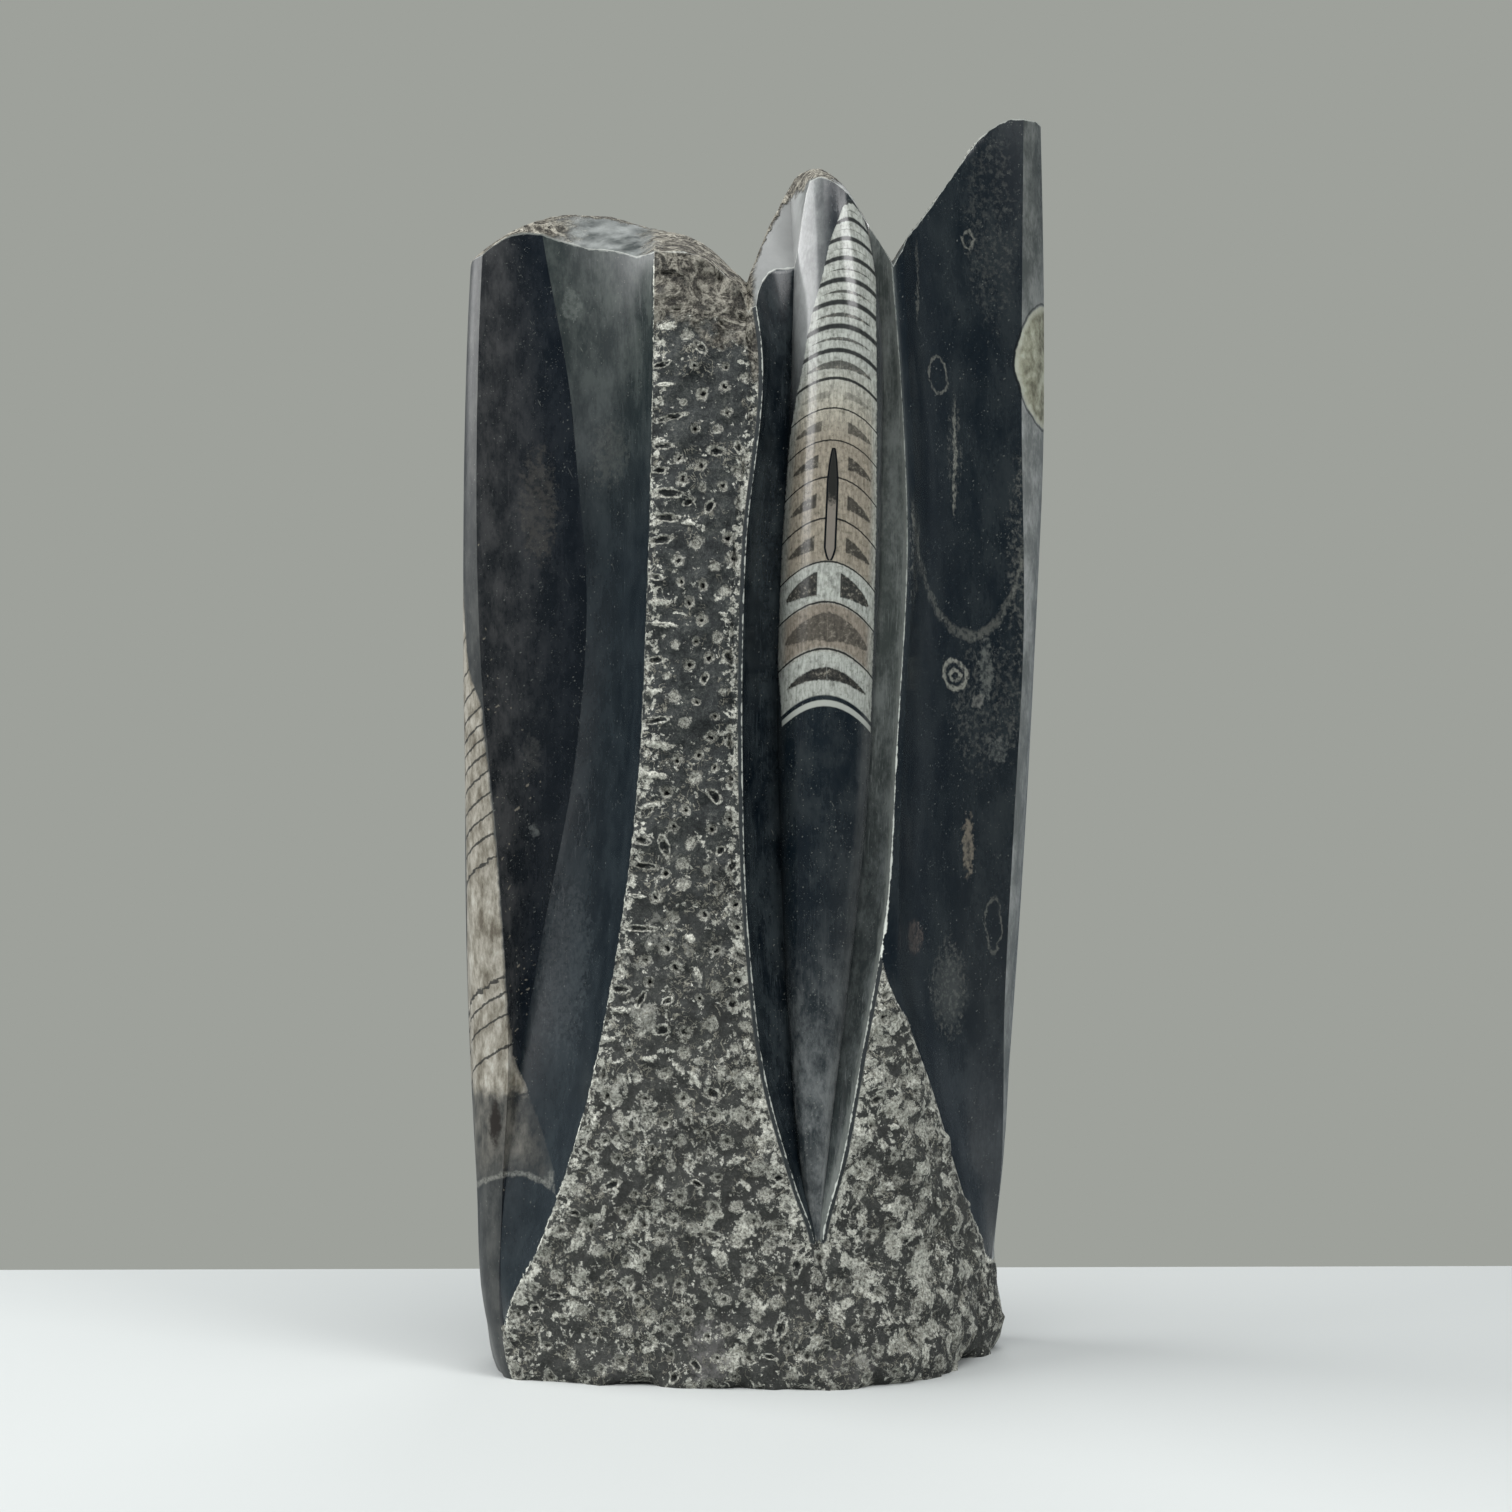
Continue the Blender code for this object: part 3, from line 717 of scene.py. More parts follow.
def plug(socket, value):
    """Join a term to a socket, or set the socket's own value."""
    if isinstance(value, Term):
        value.tree.links.new(value.socket, socket)
    elif socket.type == "RGBA" and len(value) == 3:
        socket.default_value = (*value, 1)
    else:
        socket.default_value = value


def add(tree, kind, inputs=(), **settings):
    """Add a shader node with its settings and its inputs, by name or number."""
    node = tree.nodes.new("ShaderNode" + kind)
    for name, value in settings.items():
        setattr(node, name, value)
    for name, value in dict(inputs).items():
        plug(node.inputs[name], value)
    return node


def tree_of(values):
    """The tree of the first term among the values."""
    return next(value.tree for value in values if isinstance(value, Term))


def term(kind, output, inputs, **settings):
    """Add a node to its inputs' tree, and give one of its outputs."""
    tree = tree_of(inputs.values())
    return Term(tree, add(tree, kind, inputs, **settings).outputs[output])


def maths(operation, *values, clamp=False):
    return term("Math", 0, dict(enumerate(values)), operation=operation, use_clamp=clamp)


def higher(a, b):
    return maths("MAXIMUM", a, b)


def vector(operation, *values):
    output = "Value" if operation == "LENGTH" else "Vector"
    return term("VectorMath", output, dict(enumerate(values)), operation=operation)


def rise(value, start, end, least=0.0, most=1.0):
    """Go smoothly from least to most as the value goes from start to end."""
    inputs = {"Value": value, "From Min": start, "From Max": end, "To Min": least, "To Max": most}
    return term("MapRange", 0, inputs, interpolation_type="SMOOTHSTEP")


def parts(triple):
    """The three numbers of a vector."""
    node = add(triple.tree, "SeparateXYZ", {0: triple})
    return [Term(triple.tree, socket) for socket in node.outputs]


def join(x, y, z):
    return term("CombineXYZ", 0, {0: x, 1: y, 2: z})


def mottle(place, size, detail=3.0, roughness=0.6, stretch=1.0, distortion=0.0):
    """Noise from 0 to 1 with lumps of the size given, drawn out upwards by stretch."""
    level = 1 / size
    scale = (level, level, level / stretch)
    if isinstance(size, Term):
        scale = join(*scale)
    grid = vector("MULTIPLY", place, scale)
    inputs = {"Vector": grid, "Scale": 1.0, "Detail": detail, "Roughness": roughness,
              "Distortion": distortion}
    return term("TexNoise", "Fac", inputs)


def warp(place, size, reach):
    """Push a place about by up to the reach, in swirls of the size given."""
    grid = vector("MULTIPLY", place, (1 / size,) * 3)
    swirls = term("TexNoise", "Color", {"Vector": grid, "Scale": 1.0, "Detail": 4.0, "Roughness": 0.6})
    push = vector("SUBTRACT", swirls, (0.5, 0.5, 0.5))
    return vector("MULTIPLY_ADD", push, (2 * reach,) * 3, place)


def mix(share, first, second, blend="MIX"):
    """Blend two colours."""
    return term("Mix", 2, {0: share, 6: first, 7: second}, data_type="RGBA", blend_type=blend)


def tint(first, second):
    """Multiply two colours."""
    return mix(1.0, first, second, "MULTIPLY")


def ramp(value, stops, steps=False):
    """Read a colour from a list of (position, colour)."""
    colour = term("ValToRGB", "Color", {"Fac": value})
    bands = colour.socket.node.color_ramp
    bands.interpolation = "CONSTANT" if steps else "LINEAR"
    while len(bands.elements) < len(stops):
        bands.elements.new(0.5)
    for band, (position, shade) in zip(bands.elements, stops):
        band.position = position
        band.color = (*shade, 1)
    return colour


def stored(place, name, output="Fac"):
    """The number that the mesh stores under a name, at a place on the stone."""
    return Term(place.tree, add(place.tree, "Attribute", attribute_name=name).outputs[output])


def stored_parts(place, name):
    """The three numbers that the mesh stores under a name."""
    return parts(stored(place, name, "Vector"))


def add_socket(group, side, name, usual=None):
    """Add a socket to a group, of the kind that its name and its usual value ask for."""
    kind = "Vector" if name == "place" or isinstance(usual, tuple) else "Float"
    kind = "Color" if "colour" in name else kind
    title = name.replace("_", " ").title()
    socket = group.interface.new_socket(title, in_out=side, socket_type="NodeSocket" + kind)
    if usual is not None:
        socket.default_value = (*usual, 1) if kind == "Color" else usual


def shared_effect(outputs, **inputs):
    """Build a node group from a function of its inputs, given here with their usual values.  Calling
    the function then places the group, and gives its output, or a list of them."""
    def build(effect):
        group = bpy.data.node_groups.new(effect.__name__, "ShaderNodeTree")
        for name, usual in inputs.items():
            add_socket(group, "INPUT", name, usual)
        for name in outputs.split():
            add_socket(group, "OUTPUT", name)
        start = group.nodes.new("NodeGroupInput")
        end = group.nodes.new("NodeGroupOutput")
        made = effect(*[Term(group, socket) for socket in start.outputs[:len(inputs)]])
        for socket, value in zip(end.inputs, made if isinstance(made, tuple) else (made,)):
            plug(socket, value)

        def placed(*values):
            tree = tree_of(values)
            node = add(tree, "Group", node_tree=group)
            for socket, value in zip(node.inputs, values):
                plug(socket, value)
            given = [Term(tree, socket) for socket in node.outputs]
            return given if len(given) > 1 else given[0]
        return placed
    return build


# ---------------------------------------------------------------- effects that several finishes share

NOWHERE = (0.0, 0.0, 0.0)


@shared_effect("place", object_place=NOWHERE)
def stone_place(object_place):
    """Where a point lies in the plan of the carved lines, in millimetres."""
    return vector("MULTIPLY_ADD", object_place, (1 / MM,) * 3, (*MIDDLE, 0))


@shared_effect("mask", place=NOWHERE, size=1.0, share=0.1)
def mineral_specks(place, size, share):
    """Small pale grains in loose clusters; the share is how much of a cluster they fill."""
    drift = mottle(place, size * 1.5, detail=3.0)
    moved = vector("ADD", place, join(*(drift * size * 1.6,) * 3))
    grid = vector("MULTIPLY", moved, join(*(1 / size,) * 3))
    cells = add(place.tree, "TexVoronoi", {"Vector": grid, "Scale": 1.0})
    chance, girth, _ = parts(Term(place.tree, cells.outputs["Color"]))
    reach = girth * 0.30
    spot = rise(Term(place.tree, cells.outputs["Distance"]), reach, reach * 0.4)
    cluster = rise(mottle(place, size * 9.0), 0.42, 0.62)
    return spot * (chance < share * cluster)


@shared_effect("mask", place=NOWHERE, spacing=1.0)
def hairline_streaks(place, spacing):
    """Fine upright polishing lines, in patches."""
    lines = mottle(place, spacing, detail=2.0, stretch=22.0)
    patch = rise(mottle(place, 13.0, detail=2.0, stretch=3.0), 0.38, 0.62)
    return rise(lines, 0.54, 0.74) * patch


@shared_effect("mask", place=NOWHERE, lean=0.0)
def slanting_scratches(place, lean):
    """A few thin scratches that lean across the polish."""
    leaning = term("VectorRotate", 0, {"Vector": place, "Angle": lean}, rotation_type="Y_AXIS")
    lines = mottle(leaning, 0.55, detail=1.0, stretch=26.0)
    patch = rise(mottle(place, 11.0, detail=2.0), 0.54, 0.64)
    return rise(lines, 0.70, 0.78) * patch


@shared_effect("offset", place=NOWHERE, centre=NOWHERE, radii=(1.0, 1.0, 1.0))
def shell_outline(place, centre, radii):
    """How far a point lies outside an oval: -1 at its middle, 0 on its outline."""
    apart = vector("DIVIDE", vector("SUBTRACT", place, centre), radii)
    return vector("LENGTH", apart) - 1.0


@shared_effect("mask", along=0.0, thickness=0.1)
def chamber_walls(along, thickness):
    """The thin walls between a fossil's chambers, at every whole number along it."""
    apart = abs(along - maths("ROUND", along))
    half = thickness * 0.5
    return rise(apart, half, half * 0.45)


@shared_effect("mask", place=NOWHERE, distance=0.0, width=0.5)
def bruised_edge(place, distance, width):
    """Crushed pale stone along an arris, broken here and there."""
    ragged = width * rise(mottle(place, 3.0, detail=4.0), 0.30, 0.70, 0.25, 1.6)
    return rise(distance, ragged, ragged * 0.5)


@shared_effect("light height", place=NOWHERE, size=1.0)
def broken_grain(place, size):
    """The light and dark grain of unpolished stone, and how far it stands out."""
    coarse = mottle(place, size, detail=5.0, roughness=0.72)
    fine = mottle(place, size * 0.3, detail=2.0, roughness=0.7)
    return coarse * 0.55 + fine * 0.45, coarse + fine * 0.4


@shared_effect("colour", place=NOWHERE)
def crushed_stone(place):
    """The pale colour of crushed limestone, with dark gaps between its crumbs."""
    crumbs = mottle(place, 0.9, detail=4.0, roughness=0.75)
    return ramp(crumbs, [(0.32, (0.06, 0.06, 0.054)), (0.41, (0.25, 0.25, 0.215)),
                         (0.50, (0.54, 0.54, 0.47)), (0.61, (0.80, 0.80, 0.72))])


@shared_effect("colour height", place=NOWHERE)
def brown_break(place):
    """The brown, folded stone that was left as it broke."""
    light, height = broken_grain(place, 2.2)
    fold = abs(mottle(place, 8.0, detail=3.0, roughness=0.6, distortion=1.1) - 0.5)
    crest = rise(fold, 0.09, 0.010)
    colour = ramp(light + crest * 0.16, [(0.44, (0.020, 0.018, 0.014)), (0.52, (0.085, 0.077, 0.062)),
                                         (0.61, (0.23, 0.215, 0.175)), (0.72, (0.40, 0.38, 0.32))])
    return colour, height + crest * 0.9


@shared_effect("colour height", place=NOWHERE, dark_colour=NOWHERE, light_colour=(0.1, 0.1, 0.1),
               cloud=10.0, specks=0.05, streaks=0.2)
def polished_stone(place, dark_colour, light_colour, cloud, specks, streaks):
    """Black limestone with a polish: soft clouds of the size given, hairlines, scratches and grains."""
    clouds = mottle(place, cloud, detail=6.0, roughness=0.62, stretch=1.8)
    fine = mottle(place, 0.9, detail=3.0, roughness=0.7, stretch=2.0)
    clouds = rise(clouds + (fine - 0.5) * 0.35, 0.34, 0.72)
    lines = hairline_streaks(place, 0.5)
    scratches = slanting_scratches(place, 0.5)
    grains = mineral_specks(place, 1.0, specks)
    dust = mineral_specks(place, 0.6, specks)
    colour = mix(maths("ADD", clouds, lines * streaks, clamp=True), dark_colour, light_colour)
    pale = maths("ADD", grains * 0.6, dust * 0.45 + scratches * 0.45, clamp=True)
    colour = mix(pale, colour, (0.20, 0.21, 0.19))
    rim = bruised_edge(place, stored(place, "from_rim"), 0.40)
    crisp = rise(parts(place)[0], 18.0, 34.0, 0.40, 0.85)
    return mix(rim * crisp, colour, (0.46, 0.48, 0.44)), lines


# ---------------------------------------------------------------- the finishes

CREAM = (0.42, 0.41, 0.34)      # crushed limestone
FOSSIL_WHITE = (0.37, 0.385, 0.35)
FOSSIL_BEIGE = (0.27, 0.24, 0.19)
FOSSIL_TAN = (0.24, 0.21, 0.17)
FOSSIL_BROWN = (0.10, 0.085, 0.065)
BLACK = (0.004, 0.005, 0.006)
POLISH_DEPTH = 0.02     # of the hairlines in the polish, in millimetres

FINISHES = {}


def new_material(name, roughness, specular):
    """A material and its shader, with the shader's own values set."""
    material = bpy.data.materials.new(name)
    material.use_nodes = True
    shader = material.node_tree.nodes["Principled BSDF"]
    shader.inputs["Roughness"].default_value = roughness
    shader.inputs["Specular IOR Level"].default_value = specular
    return material, shader


def finish(roughness, specular=0.5, depth=POLISH_DEPTH):
    """Make a material of a function of the place on the stone, which gives the colour, the height of
    the relief and, where it varies, the roughness.  The depth is the relief's in millimetres."""
    def build(paint):
        name = paint.__name__
        material, shader = new_material(name, roughness, specular)
        tree = material.node_tree
        place = stone_place(Term(tree, add(tree, "TexCoord").outputs["Object"]))
        colour, height, *varied = paint(place)
        plug(shader.inputs["Base Color"], colour)
        for rough in varied:
            plug(shader.inputs["Roughness"], rough)
        relief = {"Height": height, "Strength": 1.0, "Distance": depth * MM}
        plug(shader.inputs["Normal"], term("Bump", "Normal", relief))
        FINISHES[name.removesuffix("_limestone")] = material
        return paint
    return build


def cheek_fossil(place, colour):
    """Lay the fossil at the left edge over a polished colour."""
    inside, along, spacing = stored_parts(place, "cheek_fossil")
    height = parts(place)[2]
    wander = mottle(place, 3.0, detail=4.0) - 0.5
    body = rise(inside + wander * 2.5, 0.0, 0.8)
    shade = mottle(place, 3.6, detail=6.0, roughness=0.70, stretch=2.0)
    flesh = ramp(shade, [(0.34, FOSSIL_BROWN), (0.45, (0.19, 0.175, 0.14)), (0.57, (0.32, 0.30, 0.255)),
                         (0.70, (0.45, 0.44, 0.39))])
    walls = chamber_walls(along + wander * 2.0 / spacing, 0.95 / spacing)
    flesh = mix(walls * 0.85, flesh, BLACK)
    faded = rise(height + wander * 8.0, 82.0, 77.0)
    edge = body * rise(inside + wander * 2.5, 1.4, 0.7) * (1.0 - faded)
    flesh = mix(edge * 0.45, flesh, BLACK)

    # Below the last chamber only mottled grey is left, with a brown hollow and a pale arch under it
    grey = ramp(shade, [(0.35, (0.030, 0.032, 0.031)), (0.65, (0.125, 0.120, 0.105))])
    flesh = mix(faded * 0.95, flesh, grey)
    body = body * (1.0 - faded * rise(inside + wander * 6.0, 9.0, 1.0, 0.0, 0.75))
    hollow = shell_outline(place, (-76.3, -22.0, 71.0), (1.8, 30.0, 6.5))
    flesh = mix(rise(hollow + wander * 1.6, 0.20, -0.35), flesh, (0.014, 0.011, 0.009))
    arch = rise(abs(inside - 1.0 + wander * 3.0), 1.3, 0.4) * rise(height, 59.5, 57.5)
    flesh = mix(arch * 0.7, flesh, crushed_stone(place))
    return mix(body, colour, flesh)


def frayed_pieces(place, colour, pieces):
    """Lay ragged patches over a colour, each as (centre, radii, strength, shade): shell in the
    polish, flake scars in the chiselled ground."""
    frayed = warp(warp(place, 5.0, 1.6), 1.4, 0.9)
    crumbs = mottle(place, 1.6, detail=5.0, roughness=0.7)
    for centre, radii, strength, shade in pieces:
        offset = shell_outline(frayed, centre, radii)
        piece = rise(offset + (0.5 - crumbs) * 1.6, 0.15, -0.30)
        piece = piece * rise(crumbs, 0.36, 0.60, 0.25, 1.15)
        colour = mix(piece * strength, colour, shade)
    return colour


def chipped_arris(place, colour):
    """Lay the crumbs that the chisel broke out of a polished wall along its arris."""
    chips = mottle(place, 2.2, detail=5.0, roughness=0.7) - 0.5
    broken = rise(stored(place, "dressing") + chips * 5.0, -0.45, -0.15)
    return mix(broken, colour, crushed_stone(place))


def graded_polish(place, share, darks, lights, cloud, specks, streaks):
    """Polished stone whose dark and light colours both go from their first to their second."""
    return polished_stone(place, mix(share, *darks), mix(share, *lights), cloud, specks, streaks)


@finish(roughness=0.38, specular=0.25)
def left_side_limestone(place):
    """The rounded left edge and the left side, with the fossil that runs round them."""
    colour, relief = polished_stone(place, (0.022, 0.025, 0.026), (0.062, 0.065, 0.062), 6.0, 0.5, 0.25)
    return cheek_fossil(place, colour), relief


@finish(roughness=0.20)
def near_wall_limestone(place):
    """The left flute's inner wall: warm grey at its outer edge, black towards the flute's bed."""
    inward = rise(stored(place, "girth"), 1.1, 1.95)
    darks = ((0.010, 0.012, 0.014), (0.003, 0.006, 0.010))
    lights = ((0.050, 0.051, 0.052), (0.014, 0.018, 0.023))
    colour, relief = graded_polish(place, inward, darks, lights, 6.0, 1.4, 0.35)
    beside = rise(stored_parts(place, "cheek_fossil")[0], -16.0, -1.0)
    grains = mineral_specks(place, 1.7, beside * 5.0)
    colour = mix(grains * 0.8, colour, (0.22, 0.20, 0.16))
    colour = frayed_pieces(place, colour, [
        ((-64.5, -25.0, 248.0), (5.5, 14.0, 17.0), 0.40, (0.085, 0.080, 0.070)),
        ((-66.5, -25.0, 176.0), (3.0, 12.0, 6.0), 0.30, (0.090, 0.090, 0.085)),
        ((-65.7, -20.6, 153.8), (1.6, 9.0, 2.0), 0.60, (0.14, 0.15, 0.145))])
    return cheek_fossil(place, colour), relief


@finish(roughness=0.24)
def far_wall_limestone(place):
    """The left flute's outer wall: slate, paler and greener near the top, chipped at its arris."""
    high_up = rise(parts(place)[2], 225.0, 310.0)
    darks = ((0.009, 0.014, 0.018), (0.013, 0.020, 0.020))
    lights = ((0.021, 0.029, 0.034), (0.060, 0.071, 0.066))
    colour, relief = graded_polish(place, high_up, darks, lights, 7.0, 0.4, 0.35)
    scribbles = slanting_scratches(place, -0.45)
    colour = mix(scribbles * (high_up * 0.6 + 0.15), colour, (0.24, 0.26, 0.23))
    colour = frayed_pieces(place, colour, [
        ((-55.2, -22.3, 305.7), (3.2, 12.0, 4.2), 0.50, (0.125, 0.140, 0.128)),
        ((-46.0, -33.0, 262.0), (7.0, 14.0, 11.0), 0.35, (0.085, 0.092, 0.084)),
        ((-58.0, -30.0, 118.0), (9.0, 14.0, 26.0), 0.30, (0.070, 0.082, 0.088))])
    colour = cheek_fossil(place, colour)
    return chipped_arris(place, colour), relief


@finish(roughness=0.25, depth=0.03)
def groove_limestone(place):
    """The leaf-shaped groove: greenish black on the left, grey with upright lines on the right, where the
    grey and the sheen beside the leaf's arris are painted reflection.
    """
    right = rise(stored(place, "girth"), 5.9, 6.1)
    # The right wall is painted greyer, most of all high up: a painted reflection
    painted_reflection_share = right * rise(parts(place)[2], 130.0, 230.0, 0.35, 1.0)
    darks = ((0.003, 0.006, 0.009), (0.085, 0.098, 0.092))
    lights = ((0.028, 0.036, 0.040), (0.26, 0.28, 0.265))
    colour, relief = graded_polish(place, painted_reflection_share, darks, lights, 8.0, 0.7, 0.9)
    from_arris = stored(place, "leaf_arris")
    lines = mottle(place, 1.0, detail=4.0, roughness=0.65, stretch=8.0)
    # A painted sheen beside the leaf's arris on the right wall
    painted_sheen = rise(from_arris + (lines - 0.5) * 5.0, 3.4, 0.8) * right
    colour = mix(painted_sheen * 0.8, colour, (0.19, 0.205, 0.19))
    arris = bruised_edge(place, from_arris, 0.5)
    return mix(arris, colour, (0.62, 0.65, 0.60)), relief


def chamber_windows(side, along, grain):
    """The dark fill of each chamber: where it is, and how dark.  Each has its own: how far out it
    starts, how tall it is, and how dark."""
    chamber = maths("FLOOR", along)
    share = along - chamber
    styles = ramp((chamber + 1.5) / 20.0, [
        (0.0, (0.0, 0.06, 0.6)), (0.15, (0.0, 0.07, 0.8)), (0.2, (0.0, 0.10, 0.85)),
        (0.25, (0.0, 0.12, 0.85)), (0.3, (0.0, 0.10, 0.8)), (0.35, (0.0, 0.18, 0.8)),
        (0.4, (0.18, 0.15, 0.4)), (0.45, (0.30, 0.20, 0.75)), (0.5, (0.33, 0.20, 0.85)),
        (0.65, (0.24, 0.33, 0.95)), (0.7, (0.0, 0.34, 0.70)), (0.75, (0.0, 0.17, 0.97)),
        (0.8, (0.0, 0.0, 0.0))], steps=True)
    inner, tall, dark = parts(styles)
    taper = (side - inner) / (0.86 - inner)
    reach = tall * maths("SUBTRACT", 1.0, taper, clamp=True) ** 0.42
    off_middle = abs(share - 0.53) + (grain - 0.5) * 0.10
    window = rise(off_middle, reach, reach - 0.05) * rise(side, inner - 0.015, inner + 0.015)
    return window * (reach > 0.015), dark


def siphuncle(side, along, grain, body):
    """Lay the siphuncle over the body: a dark-edged tube up the middle of three chambers."""
    top = maths("DIVIDE", along - 9.2, 0.9, clamp=True)
    foot = maths("DIVIDE", 11.98 - along, 0.30, clamp=True)
    half = maths("SQRT", top * foot) * 0.11
    tube = rise(side, half, half - 0.03) * (half > 0.01)
    pith = mix(rise(along + grain, 10.9, 11.3), (0.02, 0.02, 0.018), (0.19, 0.17, 0.145))
    outline = rise(abs(side - half), 0.03, 0.015) * (half > 0.01)
    return mix(outline, mix(tube, body, pith), BLACK)


@finish(roughness=0.17)
def spindle_limestone(place):
    """The half-round spindle with the orthoceras cut lengthwise along its upper half."""
    height = parts(place)[2]
    # Lighter towards the foot: painted light that makes up for the shade deep in the groove
    low_down = rise(height, 135.0, 75.0)
    girth = stored(place, "girth")
    # Painted reflection: a pale haze on the left flank near the top, and a faint pale strip at the right
    # edge
    painted_haze = rise(girth, 5.42, 5.10) * rise(height, 262.0, 300.0)
    painted_haze = higher(painted_haze, rise(girth, 5.80, 5.95) * 0.25)
    dark = mix(low_down, (0.003, 0.007, 0.011), (0.020, 0.026, 0.029))
    light = mix(low_down, (0.022, 0.028, 0.031), (0.15, 0.16, 0.16))
    dark = mix(painted_haze, dark, (0.16, 0.165, 0.165))
    light = mix(painted_haze, light, (0.26, 0.27, 0.265))
    polish, relief = polished_stone(place, dark, light, 7.0, 1.6, 0.5)
    across, along, _ = stored_parts(place, "orthoceras")
    grain = mottle(place, 1.2, detail=4.0, roughness=0.7)
    side = abs(across)
    window, blackness = chamber_windows(side, along, grain)

    # The body is whitish above and below and beige between, with a paler rim
    body = ramp(along / 20.0 + 0.05, [
        (0.0, FOSSIL_WHITE), (0.36, FOSSIL_WHITE), (0.45, (0.36, 0.34, 0.28)), (0.50, FOSSIL_BEIGE),
        (0.648, FOSSIL_BEIGE), (0.652, FOSSIL_WHITE), (0.698, FOSSIL_WHITE), (0.702, FOSSIL_TAN),
        (0.748, FOSSIL_TAN), (0.752, FOSSIL_WHITE)])
    body = mix(rise(side, 0.80, 0.97) * 0.8, body, FOSSIL_WHITE)
    fine_lines = mottle(place, 0.7, detail=3.0, stretch=4.0)
    body = tint(body, ramp(fine_lines, [(0.3, (0.62, 0.62, 0.62)), (0.62, (1.12, 1.12, 1.12))]))
    grit = mottle(place, 1.4, detail=4.0, roughness=0.72)
    body = tint(body, ramp(grit, [(0.34, (0.60, 0.60, 0.58)), (0.47, (0.97, 0.97, 0.97)),
                                  (0.66, (1.15, 1.15, 1.15))]))
    fill = ramp(grain, [(0.35, BLACK), (0.55, (0.035, 0.033, 0.028)), (0.72, (0.25, 0.23, 0.19))])
    body = mix(window * blackness, body, fill)

    # The walls are thick at the narrow end and thin at the wide one
    walls = chamber_walls(along + (grain - 0.5) * 0.04, rise(along, 4.5, 8.5, 0.31, 0.06))
    body = mix(walls * (along < 14.6) * 0.93, body, BLACK)
    body = siphuncle(side, along, grain, body)

    wander = (grain - 0.5) * 0.10
    fossil = rise(side + wander, 1.0, 0.97) * rise(along, 15.0, 14.96)
    fossil = fossil * rise(along, -1.2, -0.9)
    closing = rise(abs(along - 15.15), 0.08, 0.05) * rise(side, 1.0, 0.97)
    return mix(closing, mix(fossil, polish, body), FOSSIL_WHITE), relief


def oval_shell(place, colour):
    """Lay the cut through a round shell at the right edge over a polished colour."""
    place = warp(place, 9.0, 1.2)
    offset = shell_outline(place, (86.0, 21.0, 295.5), (15.7, 15.7, 18.8))
    shade = mottle(place, 4.0, detail=6.0, roughness=0.66)
    flesh = ramp(shade, [(0.34, (0.13, 0.125, 0.09)), (0.5, (0.27, 0.27, 0.20)),
                         (0.66, (0.42, 0.43, 0.345))])
    flesh = mix(rise(offset, -0.14, -0.05) * 0.5, flesh, (0.46, 0.47, 0.40))
    colour = mix(rise(offset, 0.0, -0.03), colour, flesh)
    outline = rise(abs(offset - 0.02), 0.025, 0.01)
    return mix(outline * 0.6, colour, BLACK)


# Drifts of shell crumbs in the right flute: (centre, radii, strength)
CRUMB_DRIFTS = [
    ((67.0, 3.0, 192.0), (15.0, 15.0, 20.0), 0.28),
    ((68.0, 6.0, 335.0), (9.0, 14.0, 30.0), 0.20),
    ((80.0, 12.0, 235.0), (7.0, 14.0, 34.0), 0.45),
    ((43.5, -36.0, 232.0), (5.0, 9.0, 16.0), 0.50),
    ((56.4, -5.0, 265.0), (2.4, 9.0, 15.0), 0.35),
    ((55.0, -6.0, 108.0), (7.0, 12.0, 15.0), 0.30),
]
# Outlines of cut shells in it: (centre, radii, thickness, strength, lowest, highest)
SHELL_CUTS = [
    ((61.0, 0.0, 262.0), (20.5, 400.0, 50.0), 0.045, 0.26, 205.0, 240.0),
    ((56.6, -6.0, 265.0), (0.3, 9.0, 11.0), 0.95, 0.6, 240.0, 275.0),
    ((44.6, -18.0, 313.0), (0.25, 30.0, 8.0), 0.95, 0.3, 295.0, 320.0),
    ((56.6, -5.4, 200.1), (4.0, 9.0, 4.0), 0.24, 0.9, 190.0, 210.0),
    ((56.6, -5.4, 200.1), (1.6, 9.0, 1.6), 0.40, 0.9, 190.0, 210.0),
    ((51.3, -11.4, 287.6), (3.6, 9.0, 5.4), 0.12, 0.45, 280.0, 295.0),
    ((61.3, 0.0, 329.9), (1.8, 9.0, 2.8), 0.25, 0.5, 325.0, 335.0),
    ((69.0, 6.0, 126.5), (2.6, 9.0, 8.0), 0.12, 0.3, 118.0, 134.0),
]


def shell_cuts(place, colour):
    """Lay the right flute's drifts of crumbs and its outlines of cut shells over a colour."""
    wavy = warp(place, 5.0, 1.6)
    frayed = warp(wavy, 1.4, 0.9)
    height = parts(wavy)[2]
    crumbs = mottle(place, 1.6, detail=5.0, roughness=0.7)
    dots = rise(crumbs, 0.46, 0.66)
    for centre, radii, strength in CRUMB_DRIFTS:
        drift = rise(shell_outline(wavy, centre, radii) + (0.5 - crumbs) * 1.6, 0.05, -0.35)
        colour = mix(drift * strength * dots, colour, (0.20, 0.20, 0.175))
    for centre, radii, thin, strength, lowest, highest in SHELL_CUTS:
        offset = shell_outline(frayed, centre, radii)
        line = rise(abs(offset), thin, thin * 0.4) * rise(crumbs, 0.38, 0.55, 0.15, 1.0)
        line = line * rise(height, lowest - 2.0, lowest + 2.0)
        line = line * rise(height, highest + 14.0, highest - 6.0)
        colour = mix(line * strength, colour, (0.28, 0.28, 0.24))
    return colour


